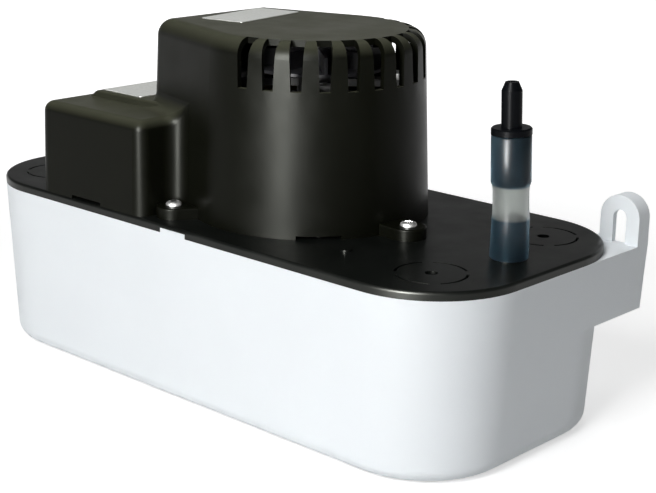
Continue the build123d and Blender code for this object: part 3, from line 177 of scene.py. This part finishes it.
class FastenerSizes(bpy.types.PropertyGroup):
    head_height: bpy.props.FloatProperty(
        name="Head height", description="Height of the low pan head over its seat",
        subtype="DISTANCE", unit="LENGTH", default=1.7 * MM)
    seat_depth: bpy.props.FloatProperty(
        name="Seat depth", description="Distance from the plain head's top down to its seat",
        subtype="DISTANCE", unit="LENGTH", default=2.3 * MM)
    shank_radius: bpy.props.FloatProperty(
        name="Shank radius", description="Radius of the screw's shank",
        subtype="DISTANCE", unit="LENGTH", default=1.9 * MM)
    recess_width: bpy.props.FloatProperty(
        name="Recess width", description="Width of one wing of the cross recess",
        subtype="DISTANCE", unit="LENGTH", default=0.9 * MM)
    recess_span: bpy.props.FloatProperty(
        name="Recess span", description="Tip to tip length of the cross recess",
        subtype="DISTANCE", unit="LENGTH", default=3.2 * MM)
    recess_depth: bpy.props.FloatProperty(
        name="Recess depth", description="Depth of the cross recess",
        subtype="DISTANCE", unit="LENGTH", default=1.1 * MM)


class HoseSizes(bpy.types.PropertyGroup):
    axis_x: bpy.props.FloatProperty(
        name="Outlet place", description="Place of the outlet's axis along the pump",
        subtype="DISTANCE", unit="LENGTH", default=120.0 * MM)
    stub_radius: bpy.props.FloatProperty(
        name="Stub radius",
        description="Radius of the stub and the valve that the hose is pushed over",
        subtype="DISTANCE", unit="LENGTH", default=5.95 * MM)
    foot_radius: bpy.props.FloatProperty(
        name="Foot radius", description="Outside radius of the hose at the lid",
        subtype="DISTANCE", unit="LENGTH", default=7.5 * MM)
    rim_radius: bpy.props.FloatProperty(
        name="Rim radius", description="Outside radius of the hose at the stub's rim",
        subtype="DISTANCE", unit="LENGTH", default=7.2 * MM)
    waist_radius: bpy.props.FloatProperty(
        name="Waist radius",
        description="Outside radius of the clear stretch between stub and valve",
        subtype="DISTANCE", unit="LENGTH", default=6.85 * MM)
    cap_radius: bpy.props.FloatProperty(
        name="Cap radius", description="Outside radius of the hose over the valve",
        subtype="DISTANCE", unit="LENGTH", default=7.6 * MM)
    wall: bpy.props.FloatProperty(
        name="Wall", description="Wall of the hose where it is not stretched",
        subtype="DISTANCE", unit="LENGTH", default=1.5 * MM)


class LidSizes(bpy.types.PropertyGroup):
    bridge_place: bpy.props.FloatProperty(
        name="Bridge place",
        description="Place along the pump of the lid's bridge over the tank's tab",
        subtype="DISTANCE", unit="LENGTH", default=-1.0 * MM)
    bridge_length: bpy.props.FloatProperty(
        name="Bridge length", description="Length of the bridge over the tab",
        subtype="DISTANCE", unit="LENGTH", default=16.0 * MM)
    bridge_depth: bpy.props.FloatProperty(
        name="Bridge depth", description="Depth of the bridge from the lid's edge inwards",
        subtype="DISTANCE", unit="LENGTH", default=2.4 * MM)
    bridge_thickness: bpy.props.FloatProperty(
        name="Bridge thickness", description="Thickness of the bridge under the lid's top face",
        subtype="DISTANCE", unit="LENGTH", default=1.4 * MM)
    edge_round: bpy.props.FloatProperty(
        name="Edge round", description="Radius on the lid's upper edge",
        subtype="DISTANCE", unit="LENGTH", default=1.2 * MM)


# ---------------------------------------------------------------- materials

def new_finish(name, roughness, base=(0.5, 0.5, 0.5), metallic=0.0, specular=0.5):
    """A material with one Principled BSDF and an Object coordinate node."""
    material = bpy.data.materials.new(name)
    material.use_nodes = True
    tree = material.node_tree
    shader = tree.nodes["Principled BSDF"]
    shader.inputs["Base Color"].default_value = (*base, 1)
    shader.inputs["Roughness"].default_value = roughness
    shader.inputs["Metallic"].default_value = metallic
    shader.inputs["Specular IOR Level"].default_value = specular
    tree.nodes.new("ShaderNodeTexCoord").name = "Place"
    return material


def place_of(material):
    return material.node_tree.nodes["Place"].outputs["Object"]


def noise(material, scale, detail=2.0, roughness=0.5):
    tree = material.node_tree
    node = tree.nodes.new("ShaderNodeTexNoise")
    node.inputs["Scale"].default_value = scale
    node.inputs["Detail"].default_value = detail
    node.inputs["Roughness"].default_value = roughness
    tree.links.new(place_of(material), node.inputs["Vector"])
    return node.outputs["Fac"]


def spread(material, value, low, high, span=(0.3, 0.7)):
    """The value's span stretched between low and high."""
    tree = material.node_tree
    node = tree.nodes.new("ShaderNodeMapRange")
    node.inputs["From Min"].default_value = span[0]
    node.inputs["From Max"].default_value = span[1]
    node.inputs["To Min"].default_value = low
    node.inputs["To Max"].default_value = high
    tree.links.new(value, node.inputs["Value"])
    return node.outputs["Result"]


def tint(material, value, dark, light):
    """Base colour that runs from dark to light with the value."""
    tree = material.node_tree
    node = tree.nodes.new("ShaderNodeMix")
    node.data_type = "RGBA"
    node.inputs["A"].default_value = (*dark, 1)
    node.inputs["B"].default_value = (*light, 1)
    tree.links.new(value, node.inputs["Factor"])
    tree.links.new(node.outputs["Result"], tree.nodes["Principled BSDF"].inputs["Base Color"])


def vary_roughness(material, value, low, high):
    tree = material.node_tree
    shader = tree.nodes["Principled BSDF"]
    tree.links.new(spread(material, value, low, high), shader.inputs["Roughness"])


def relief(material, height, depth, strength=1.0, under=None):
    """Bump of the given depth in metres, laid over an earlier bump if there is one."""
    tree = material.node_tree
    node = tree.nodes.new("ShaderNodeBump")
    node.inputs["Strength"].default_value = strength
    node.inputs["Distance"].default_value = depth
    tree.links.new(height, node.inputs["Height"])
    if under:
        tree.links.new(under, node.inputs["Normal"])
    tree.links.new(node.outputs["Normal"], tree.nodes["Principled BSDF"].inputs["Normal"])
    return node.outputs["Normal"]


def shade(colour, factor):
    return tuple(min(1.0, channel * factor) for channel in colour)


def moulded(name, colour, roughness, grain=0.5 * MM, depth=0.03 * MM, specular=0.5,
            mottle=0.12):
    """Moulded plastic: spark grain, faint flow marks, roughness that wanders a little."""
    material = new_finish(name, roughness, colour, specular=specular)
    flow = spread(material, noise(material, 18, 3), 0, 1)
    tint(material, flow, shade(colour, 1 - mottle), shade(colour, 1 + mottle))
    vary_roughness(material, noise(material, 60, 4), roughness - 0.05, roughness + 0.05)
    broad = relief(material, noise(material, 25, 2), 0.10 * MM, 0.35)
    relief(material, noise(material, 1 / grain, 3, 0.6), depth, 0.8, broad)
    return material


def warm_gloss(material):
    """Gives the highlights of the black mouldings a slight olive cast."""
    shader = material.node_tree.nodes["Principled BSDF"]
    shader.inputs["Specular Tint"].default_value = (0.98, 1.0, 0.92, 1)


def painted_top_sheen(material, top_sheen_colour, floor):
    """Paints a lighter tone into the base colour of the upward faces above a height: a painted
    sheen that stands in for the grazing reflection there.
    """
    tree = material.node_tree
    shader = tree.nodes["Principled BSDF"]
    below = shader.inputs["Base Color"].links[0].from_socket
    facing = tree.nodes.new("ShaderNodeSeparateXYZ")
    tree.links.new(tree.nodes["Place"].outputs["Normal"], facing.inputs["Vector"])
    height = tree.nodes.new("ShaderNodeSeparateXYZ")
    tree.links.new(place_of(material), height.inputs["Vector"])
    share = tree.nodes.new("ShaderNodeMath")
    share.operation = "MULTIPLY"
    tree.links.new(spread(material, facing.outputs["Z"], 0, 1, (0.2, 0.9)), share.inputs[0])
    rise = spread(material, height.outputs["Z"], 0, 1, (floor, floor + SHEEN_RISE))
    tree.links.new(rise, share.inputs[1])
    blend = tree.nodes.new("ShaderNodeMix")
    blend.data_type = "RGBA"
    blend.inputs["B"].default_value = (*top_sheen_colour, 1)
    tree.links.new(below, blend.inputs["A"])
    tree.links.new(share.outputs["Value"], blend.inputs["Factor"])
    tree.links.new(blend.outputs["Result"], shader.inputs["Base Color"])


def plated(name, colour, roughness):
    """Plated or ground metal with fine scratches and small stains."""
    material = new_finish(name, roughness, colour, metallic=1.0)
    stain = spread(material, noise(material, 300, 4), 0, 1)
    tint(material, stain, shade(colour, 0.8), shade(colour, 1.1))
    vary_roughness(material, noise(material, 900, 3), roughness - 0.06, roughness + 0.10)
    relief(material, noise(material, 2500, 2), 0.01 * MM, 0.5)
    return material


def banded(name, colour, roughness, pitch, depth, metallic=0.0, dark=0.6):
    """A stack or a winding: thin bands one above the other."""
    material = new_finish(name, roughness, colour, metallic=metallic)
    tree = material.node_tree
    wave = tree.nodes.new("ShaderNodeTexWave")
    wave.bands_direction = "Z"
    wave.inputs["Scale"].default_value = math.pi / (10 * pitch)
    wave.inputs["Distortion"].default_value = 0.4
    tree.links.new(place_of(material), wave.inputs["Vector"])
    tint(material, wave.outputs["Fac"], shade(colour, dark), colour)
    relief(material, wave.outputs["Fac"], depth)
    return material


def soft_foam(name, colour):
    """Closed-cell foam with fine open pores on its cut skin."""
    material = new_finish(name, 0.8, colour, specular=0.3)
    tree = material.node_tree
    cells = tree.nodes.new("ShaderNodeTexVoronoi")
    cells.inputs["Scale"].default_value = 900
    tree.links.new(place_of(material), cells.inputs["Vector"])
    tint(material, cells.outputs["Distance"], shade(colour, 0.82), colour)
    relief(material, cells.outputs["Distance"], 0.25 * MM, 0.8)
    return material


def clear_vinyl(name, colour, painted_shade_colour, clear_low, clear_high):
    """Clear soft vinyl, with a darker blue tone painted outside the clear stretch between two
    heights: painted shade where the hose lies over the black stub and valve.
    """
    material = new_finish(name, 0.2, colour, specular=0.1)
    tree = material.node_tree
    shader = tree.nodes["Principled BSDF"]
    shader.inputs["IOR"].default_value = 1.2
    height = tree.nodes.new("ShaderNodeSeparateXYZ")
    tree.links.new(place_of(material), height.inputs["Vector"])
    offset = tree.nodes.new("ShaderNodeMath")
    offset.operation = "SUBTRACT"
    offset.inputs[1].default_value = (clear_low + clear_high) / 2
    tree.links.new(height.outputs["Z"], offset.inputs[0])
    away = tree.nodes.new("ShaderNodeMath")
    away.operation = "ABSOLUTE"
    tree.links.new(offset.outputs["Value"], away.inputs[0])
    half = (clear_high - clear_low) / 2
    painted_shade_share = spread(material, away.outputs["Value"], 0, 1, (half - 0.3 * MM, half + 0.5 * MM))
    # Painted shade: the hose is painted darker and bluer outside the clear stretch.
    tint(material, painted_shade_share, colour, painted_shade_colour)
    clearness = spread(material, painted_shade_share, 0.88, 0.90, (0, 1))
    tree.links.new(clearness, shader.inputs["Transmission Weight"])
    vary_roughness(material, noise(material, 45, 2), 0.27, 0.33)
    relief(material, noise(material, 60, 1), 0.03 * MM, 0.1)
    return material


def silver_film(name, colour):
    """Bare silvered film with a soft lengthwise grain."""
    material = new_finish(name, 0.42, colour, metallic=0.15)
    grain = noise(material, 700, 3)
    tint(material, spread(material, grain, 0, 1), shade(colour, 0.93), shade(colour, 1.06))
    relief(material, noise(material, 150, 2), 0.04 * MM, 0.4)
    return material


def dress(material, *nodes):
    """Gives CAD nodes the material in every slot."""
    for node in nodes:
        mesh = frame["nodes"][node].data
        mesh.materials.clear()
        mesh.materials.append(material)
        mesh.update()


# ---------------------------------------------------------------- mesh helpers

def piece(name, shape, material, body, smooth_angle=35):
    """An object from a bmesh, shaded smooth up to an angle, riding on a body."""
    bmesh.ops.recalc_face_normals(shape, faces=shape.faces)
    mesh = bpy.data.meshes.new(name)
    shape.to_mesh(mesh)
    shape.free()
    obj = bpy.data.objects.new(name, mesh)
    bpy.context.scene.collection.objects.link(obj)
    mesh.materials.append(material)
    mesh.shade_smooth()
    mesh.set_sharp_from_angle(angle=math.radians(smooth_angle))
    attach(obj, body)
    return obj


def ring(shape, place, radius, segments=72):
    """The edges of one circle, laid flat in the given place."""
    made = bmesh.ops.create_circle(
        shape, cap_ends=False, segments=segments, radius=radius, matrix=place)
    return list({edge for vert in made["verts"] for edge in vert.link_edges})


def skinned(shape, rings, closed=False):
    """Faces from each ring to the next, and from the last to the first if closed."""
    followers = rings[1:] + rings[:1] if closed else rings[1:]
    for low, high in zip(rings, followers):
        bmesh.ops.bridge_loops(shape, edges=low + high)


def loose_solids(node):
    """(lowest corner, highest corner) of each loose solid of a CAD node."""
    shape = bmesh.new()
    shape.from_mesh(frame["nodes"][node].data)
    bmesh.ops.remove_doubles(shape, verts=shape.verts, dist=TOUCH)
    waiting = set(shape.verts)
    boxes = []
    while waiting:
        found = [waiting.pop()]
        for vert in found:
            near = {edge.other_vert(vert) for edge in vert.link_edges} & waiting
            waiting -= near
            found.extend(near)
        columns = list(zip(*(vert.co for vert in found)))
        boxes.append((Vector(map(min, columns)), Vector(map(max, columns))))
    shape.free()
    return boxes


# ---------------------------------------------------------------- operators

class TANKPUMP_OT_stage(bpy.types.Operator):
    """Makes the floor, the lamps, the surroundings and the camera"""
    bl_idname = "tankpump.stage"
    bl_label = "Stage"

    def execute(self, context):
        settings = context.scene.tankpump_stage
        self.make_floor()
        self.make_world(context.scene, settings)
        target = Vector(settings.target)
        lamps = {}
        for name, place in LAMPS.items():
            power = getattr(settings, f"{name}_power")
            lamps[name] = self.make_lamp(f"{name}_lamp", power, target, *place)
        lamps["strip"].visible_diffuse = False
        lamps["rear"].visible_glossy = False
        self.make_camera(context.scene, settings, target)
        return {"FINISHED"}

    def make_floor(self):
        """A round sheet of paper just under the feet, white again where it is seen far out."""
        shape = bmesh.new()
        bmesh.ops.create_circle(shape, cap_ends=True, segments=96, radius=FLOOR_RADIUS)
        bmesh.ops.translate(shape, verts=shape.verts, vec=(0, 0, -FLOOR_DROP))
        mesh = bpy.data.meshes.new("floor")
        shape.to_mesh(mesh)
        shape.free()
        floor = bpy.data.objects.new("floor", mesh)
        bpy.context.scene.collection.objects.link(floor)
        material = new_finish("floor_paper", 0.7, FLOOR_COLOUR, specular=0.1)
        tree = material.node_tree
        reach = tree.nodes.new("ShaderNodeVectorMath")
        reach.operation = "LENGTH"
        tree.links.new(place_of(material), reach.inputs[0])
        glow = spread(material, reach.outputs["Value"], *FLOOR_GLOW, FLOOR_GLOW_REACH)
        level = tree.nodes.new("ShaderNodeMath")
        level.operation = "MULTIPLY"
        tree.links.new(glow, level.inputs[0])
        tree.links.new(seen_directly(tree), level.inputs[1])
        shader = tree.nodes["Principled BSDF"]
        shader.inputs["Emission Color"].default_value = WHITE
        tree.links.new(level.outputs["Value"], shader.inputs["Emission Strength"])
        mesh.materials.append(material)

    def make_world(self, scene, settings):
        """Even dim light, with a white band at the horizon for the rays that see it."""
        world = bpy.data.worlds.new("studio")
        scene.world = world
        world.use_nodes = True
        tree = world.node_tree
        surround = tree.nodes["Background"]
        surround.inputs["Color"].default_value = WHITE
        sight = tree.nodes.new("ShaderNodeTexCoord")
        height = tree.nodes.new("ShaderNodeSeparateXYZ")
        sweep = tree.nodes.new("ShaderNodeMapRange")
        sweep.inputs["From Min"].default_value = math.sin(math.radians(settings.sweep_low))
        sweep.inputs["From Max"].default_value = math.sin(math.radians(settings.sweep_high))
        sweep.inputs["To Min"].default_value = 1.0
        sweep.inputs["To Max"].default_value = settings.ambient
        level = tree.nodes.new("ShaderNodeMix")
        level.inputs["A"].default_value = settings.ambient
        tree.links.new(sight.outputs["Generated"], height.inputs["Vector"])
        tree.links.new(height.outputs["Z"], sweep.inputs["Value"])
        tree.links.new(seen_directly(tree), level.inputs["Factor"])
        tree.links.new(sweep.outputs["Result"], level.inputs["B"])
        tree.links.new(level.outputs["Result"], surround.inputs["Strength"])
        scene.view_settings.view_transform = "Standard"

    def make_lamp(self, name, power, target, size, distance, azimuth, elevation):
        """A soft rectangular lamp that faces the target."""
        lamp = bpy.data.lights.new(name, "AREA")
        lamp.shape = "RECTANGLE"
        lamp.size, lamp.size_y = size
        lamp.energy = power
        obj = bpy.data.objects.new(name, lamp)
        bpy.context.scene.collection.objects.link(obj)
        away = direction(math.radians(azimuth), math.radians(elevation))
        obj.location = target + away * distance
        obj.rotation_euler = away.to_track_quat("Z", "Y").to_euler()
        return obj

    def make_camera(self, scene, settings, target):
        """A camera that looks at the target, rolled about its own axis."""
        data = bpy.data.cameras.new("camera")
        data.sensor_width = 36.0
        data.lens = settings.lens
        camera = bpy.data.objects.new("camera", data)
        scene.collection.objects.link(camera)
        back = direction(settings.azimuth, settings.elevation)
        right = Vector((math.cos(settings.azimuth), math.sin(settings.azimuth), 0))
        turn = Matrix.Rotation(settings.roll, 3, back)
        right = turn @ right
        up = back.cross(right)
        camera.matrix_world = Matrix((
            (right.x, up.x, back.x, target.x + back.x * settings.distance),
            (right.y, up.y, back.y, target.y + back.y * settings.distance),
            (right.z, up.z, back.z, target.z + back.z * settings.distance),
            (0, 0, 0, 1)))
        scene.camera = camera


def direction(azimuth, elevation):
    """Unit vector from the object, azimuth from the front (-Y) towards +X."""
    flat = math.cos(elevation)
    return Vector((math.sin(azimuth) * flat, -math.cos(azimuth) * flat, math.sin(elevation)))


def seen_directly(tree):
    """1 for camera, glossy and transmission rays, and 0 for the rest."""
    path = tree.nodes.new("ShaderNodeLightPath")
    first = tree.nodes.new("ShaderNodeMath")
    second = tree.nodes.new("ShaderNodeMath")
    first.operation = "MAXIMUM"
    second.operation = "MAXIMUM"
    tree.links.new(path.outputs["Is Camera Ray"], first.inputs[0])
    tree.links.new(path.outputs["Is Glossy Ray"], first.inputs[1])
    tree.links.new(first.outputs["Value"], second.inputs[0])
    tree.links.new(path.outputs["Is Transmission Ray"], second.inputs[1])
    return second.outputs["Value"]


class TANKPUMP_OT_tank(bpy.types.Operator):
    """Finishes the white tank with its wall ears"""
    bl_idname = "tankpump.tank"
    bl_label = "Tank"

    def execute(self, context):
        colour = tuple(context.scene.tankpump_colours.tank)
        material = moulded("natural_white", colour, 0.5, 0.8 * MM, 0.008 * MM, 0.08, 0.015)
        shader = material.node_tree.nodes["Principled BSDF"]
        shader.inputs["Subsurface Weight"].default_value = 0.12
        shader.inputs["Subsurface Radius"].default_value = (1.0, 1.0, 1.0)
        shader.inputs["Subsurface Scale"].default_value = 3 * MM
        dress(material, "tank")
        return {"FINISHED"}


class TANKPUMP_OT_lid(bpy.types.Operator):
    """Finishes the black lid"""
    bl_idname = "tankpump.lid"
    bl_label = "Lid"

    def execute(self, context):
        colour = tuple(context.scene.tankpump_colours.lid)
        material = moulded("lid_black", colour, 0.34, 0.6 * MM, 0.012 * MM, 0.2)
        warm_gloss(material)
        dress(material, "lid")
        for side in (-1, 1):
            self.bridge_tab(context.scene.tankpump_lid, side, material)
        return {"FINISHED"}

    def bridge_tab(self, sizes, side, material):
        """The lid's edge runs on over the tab that locates it on the tank."""
        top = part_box("motor_cover")[0].z
        edge_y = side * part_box("lid")[1].y
        shape = bmesh.new()
        bmesh.ops.create_cube(shape, size=1)
        bmesh.ops.scale(shape, verts=shape.verts, vec=(
            sizes.bridge_length, sizes.bridge_depth, sizes.bridge_thickness))
        bmesh.ops.translate(shape, verts=shape.verts, vec=(
            sizes.bridge_place, edge_y - side * sizes.bridge_depth / 2,
            top - sizes.bridge_thickness / 2))
        rim = [edge for edge in shape.edges
               if all(abs(v.co.z - top) < TOUCH and abs(v.co.y - edge_y) < TOUCH
                      for v in edge.verts)]
        bmesh.ops.bevel(shape, geom=rim, offset=sizes.edge_round, segments=4, profile=0.5,
                        affect="EDGES", material=-1)
        names = {-1: "lid_front_bridge", 1: "lid_rear_bridge"}
        piece(names[side], shape, material, "head")


class TANKPUMP_OT_cover(bpy.types.Operator):
    """Finishes the motor cover and its grommet"""
    bl_idname = "tankpump.cover"
    bl_label = "Motor cover"

    def execute(self, context):
        colour = tuple(context.scene.tankpump_colours.cover)
        material = moulded("cover_black", colour, 0.38, 0.35 * MM, 0.025 * MM, 0.05)
        # Painted sheen: the cover's upward faces are painted lighter, a painted highlight.
        painted_top_sheen(material, tuple(context.scene.tankpump_colours.top_sheen_colour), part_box("lid")[1].z)
        warm_gloss(material)
        dress(material, "motor_cover")
        dress(moulded("soft_black", shade(colour, 2.0), 0.7, 0.5 * MM, 0.02 * MM, 0.2),
              "cable_grommet", "rubber_mounts", "shaft_slinger", "valve_seat", "valve_ball")
        return {"FINISHED"}


class TANKPUMP_OT_outlet(bpy.types.Operator):
    """Finishes the clear hose and the check valve"""
    bl_idname = "tankpump.outlet"
    bl_label = "Outlet"

    def execute(self, context):
        colours = context.scene.tankpump_colours
        sizes = context.scene.tankpump_hose
        stub_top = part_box("lid")[1].z
        valve_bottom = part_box("check_valve_body")[0].z
        material = clear_vinyl("clear_vinyl", tuple(colours.hose), tuple(colours.hose_painted_shade),
                               stub_top, valve_bottom)
        hose = self.make_hose(sizes, stub_top, valve_bottom, material)
        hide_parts("discharge_hose")
        dress(moulded("valve_black", tuple(colours.valve), 0.3, 0.6 * MM, 0.01 * MM, 0.03),
              "check_valve_body")
        return {"FINISHED"}

    def make_hose(self, sizes, stub_top, valve_bottom, material):
        """A turned tube, upright over the stub and leaning with the valve above it."""
        low, high = (corner.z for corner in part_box("discharge_hose"))
        lean = Vector(next(j["axis"] for j in frame["joints"] if j["name"] == "ball_lift"))
        lip = sizes.wall * 0.3
        outside = [
            (low, sizes.foot_radius - lip), (low + lip, sizes.foot_radius),
            (stub_top - 4 * MM, sizes.rim_radius), (stub_top - 1 * MM, sizes.rim_radius),
            (stub_top + 1 * MM, sizes.waist_radius + lip * 0.4),
            (stub_top + 4 * MM, sizes.waist_radius),
            (valve_bottom - 2 * MM, sizes.waist_radius),
            (valve_bottom, sizes.waist_radius + lip * 0.5),
            (valve_bottom + 1.5 * MM, sizes.cap_radius), (high - lip, sizes.cap_radius),
            (high, sizes.cap_radius - lip)]
        snug = sizes.stub_radius + HOSE_FIT
        loose = sizes.waist_radius - sizes.wall
        inside = [
            (high, snug + lip), (high - lip, snug), (valve_bottom, snug),
            (valve_bottom - 1.5 * MM, loose),
            (stub_top + 2 * MM, loose), (stub_top, snug), (low + lip, snug), (low, snug + lip)]
        shape = bmesh.new()
        rings = [ring(shape, self.place_on_axis(sizes.axis_x, height, stub_top, lean), radius)
                 for height, radius in outside + inside]
        skinned(shape, rings, closed=True)
        return piece("discharge_hose_skin", shape, material, "head", 50)

    def place_on_axis(self, axis_x, height, pivot, lean):
        """Upright up to the pivot, then turned into the lean over a few millimetres."""
        upright = Vector((0, 0, 1))
        share = min(1.0, max(0.0, (height - pivot) / LEAN_RUN))
        heading = upright.lerp(lean, share).normalized()
        along = heading if height > pivot else upright
        centre = Vector((axis_x, 0, pivot)) + along * (height - pivot)
        turn = upright.rotation_difference(heading).to_matrix().to_4x4()
        return Matrix.Translation(centre) @ turn


class TANKPUMP_OT_screws(bpy.types.Operator):
    """Finishes the screws and other bright steel"""
    bl_idname = "tankpump.screws"
    bl_label = "Screws and steel"

    def execute(self, context):
        colour = tuple(context.scene.tankpump_colours.steel)
        zinc = plated("zinc_plate", colour, 0.42)
        dress(zinc, "column_screws", "motor_screws", "switch_screws", "terminal_screws",
              "switch_bracket", "run_switch_lever", "safety_switch_lever")
        sizes = context.scene.tankpump_fasteners
        for number, (low, high) in enumerate(loose_solids("cover_screws"), 1):
            screw = self.make_screw(f"cover_screw_{number}", sizes, low, high, zinc)
            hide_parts("cover_screws")
        dress(plated("ground_steel", shade(colour, 0.85), 0.2), "shaft", "float_pivot_pin")
        # The brackets' zinc is painted nearly black: painted shade for the dark inside of the
        # motor cover.
        dress(plated("die_casting", shade(colour, 0.12), 0.6), "lower_bracket", "upper_bracket")
        dress(plated("sintered_bronze", BRONZE, 0.5), "lower_bearing", "upper_bearing")
        return {"FINISHED"}

    def make_screw(self, name, sizes, low, high, material):
        """A pan head screw with a cross recess, standing where the plain one stands."""
        centre = (low + high) / 2
        seat = high.z - sizes.seat_depth
        head = (high.x - low.x) / 2
        top = seat + sizes.head_height
        shank = sizes.shank_radius
        outline = [
            (low.z, shank * 0.3), (low.z + shank, shank), (seat, shank), (seat, head - 0.1 * MM),
            (seat + 0.1 * MM, head), (seat + sizes.head_height * 0.35, head),
            (seat + sizes.head_height * 0.7, head * 0.9),
            (seat + sizes.head_height * 0.92, head * 0.72),
            (top, head * 0.55)]
        shape = bmesh.new()
        rings = [ring(shape, Matrix.Translation((centre.x, centre.y, z)), radius, 48)
                 for z, radius in outline]
        skinned(shape, rings)
        bmesh.ops.contextual_create(shape, geom=rings[0])
        wings = self.cross(shape, centre, top, sizes.recess_width / 2, sizes.recess_span / 2)
        bmesh.ops.bridge_loops(shape, edges=rings[-1] + wings)
        walls = bmesh.ops.extrude_edge_only(shape, edges=wings)
        floor = [item for item in walls["geom"] if isinstance(item, bmesh.types.BMVert)]
        bmesh.ops.translate(shape, verts=floor, vec=(0, 0, -sizes.recess_depth))
        bmesh.ops.scale(shape, verts=floor, vec=(0.6, 0.6, 1),
                        space=Matrix.Translation((-centre.x, -centre.y, 0)))
        rim = [item for item in walls["geom"] if isinstance(item, bmesh.types.BMEdge)]
        bmesh.ops.contextual_create(shape, geom=rim)
        return piece(name, shape, material, "head", 30)

    def cross(self, shape, centre, height, half_width, half_span):
        """The edges of a level cross outline."""
        w, s = half_width, half_span
        corner = [(s, -w), (s, w), (w, w)]
        points = []
        for quarter in range(4):
            turn = Matrix.Rotation(quarter * math.pi / 2 + RECESS_TURN, 2)
            points += [turn @ Vector(pair) for pair in corner]
        verts = [shape.verts.new((centre.x + p.x, centre.y + p.y, height)) for p in points]
        return [shape.edges.new(pair) for pair in zip(verts, verts[1:] + verts[:1])]


class TANKPUMP_OT_stickers(bpy.types.Operator):
    """Finishes the two blank stickers"""
    bl_idname = "tankpump.stickers"
    bl_label = "Stickers"

    def execute(self, context):
        colour = tuple(context.scene.tankpump_colours.sticker)
        dress(silver_film("silver_film", colour), "top_sticker", "side_sticker")
        return {"FINISHED"}


class TANKPUMP_OT_motor(bpy.types.Operator):
    """Finishes the motor's stack, winding and fan"""
    bl_idname = "tankpump.motor"
    bl_label = "Motor"

    def execute(self, context):
        dress(banded("sheet_stack", SHEET_STEEL, 0.5, 0.65 * MM, 0.05 * MM, 0.9),
              "stator_laminations", "rotor_core")
        dress(banded("wound_tape", TAPE_BROWN, 0.6, 6 * MM, 0.08 * MM, dark=0.85),
              "coil_winding")
        colour = tuple(context.scene.tankpump_colours.inside)
        dress(moulded("dark_nylon", colour, 0.45, specular=0.2),
              "coil_bobbin", "cooling_fan", "terminal_block")
        return {"FINISHED"}


class TANKPUMP_OT_pump(bpy.types.Operator):
    """Finishes the hanging pump"""
    bl_idname = "tankpump.pump"
    bl_label = "Pump"

    def execute(self, context):
        dress(moulded("pump_black", PLAIN_BLACK, 0.45),
              "pump_column", "volute_cover", "impeller", "discharge_pipe")
        return {"FINISHED"}


class TANKPUMP_OT_float_gear(bpy.types.Operator):
    """Finishes the float and its linkage"""
    bl_idname = "tankpump.float_gear"
    bl_label = "Float gear"

    def execute(self, context):
        dress(soft_foam("float_foam", FOAM_CREAM), "float_block")
        dress(moulded("float_arm_black", PLAIN_BLACK, 0.45), "float_arm", "float_bracket")
        dress(moulded("rod_nylon", ROD_NYLON, 0.4), "actuator_rod")
        return {"FINISHED"}


class TANKPUMP_OT_switches(bpy.types.Operator):
    """Finishes the two snap switches"""
    bl_idname = "tankpump.switches"
    bl_label = "Switches"

    def execute(self, context):
        dress(moulded("switch_black", SWITCH_BLACK, 0.5), "run_switch", "safety_switch")
        dress(moulded("button_ivory", BUTTON_IVORY, 0.4),
              "run_switch_button", "safety_switch_button")
        return {"FINISHED"}


class TANKPUMP_PT_panel(bpy.types.Panel):
    bl_label = "Tank Pump"
    bl_idname = "TANKPUMP_PT_panel"
    bl_space_type = "VIEW_3D"
    bl_region_type = "UI"
    bl_category = "Tank Pump"

    def draw(self, context):
        for operator in OPERATORS:
            self.layout.operator(operator.bl_idname)
        scene = context.scene
        for group in (scene.tankpump_colours, scene.tankpump_stage, scene.tankpump_fasteners,
                      scene.tankpump_hose, scene.tankpump_lid):
            box = self.layout.box()
            for name in group.__annotations__:
                box.prop(group, name)


OPERATORS = (
    TANKPUMP_OT_stage, TANKPUMP_OT_tank, TANKPUMP_OT_lid, TANKPUMP_OT_cover,
    TANKPUMP_OT_outlet, TANKPUMP_OT_screws, TANKPUMP_OT_stickers, TANKPUMP_OT_motor,
    TANKPUMP_OT_pump,
    TANKPUMP_OT_float_gear, TANKPUMP_OT_switches,
)
GROUPS = (PumpColours, StageSettings, FastenerSizes, HoseSizes, LidSizes)
CLASSES = GROUPS + OPERATORS + (TANKPUMP_PT_panel,)


def register():
    for item in CLASSES:
        bpy.utils.register_class(item)
    bpy.types.Scene.tankpump_colours = bpy.props.PointerProperty(type=PumpColours)
    bpy.types.Scene.tankpump_stage = bpy.props.PointerProperty(type=StageSettings)
    bpy.types.Scene.tankpump_fasteners = bpy.props.PointerProperty(type=FastenerSizes)
    bpy.types.Scene.tankpump_hose = bpy.props.PointerProperty(type=HoseSizes)
    bpy.types.Scene.tankpump_lid = bpy.props.PointerProperty(type=LidSizes)


def unregister():
    del bpy.types.Scene.tankpump_colours
    del bpy.types.Scene.tankpump_stage
    del bpy.types.Scene.tankpump_fasteners
    del bpy.types.Scene.tankpump_hose
    del bpy.types.Scene.tankpump_lid
    for item in reversed(CLASSES):
        bpy.utils.unregister_class(item)


def main():
    register()
    for operator in OPERATORS:
        group, name = operator.bl_idname.split(".")
        getattr(getattr(bpy.ops, group), name)()


if __name__ == "__main__":
    main()
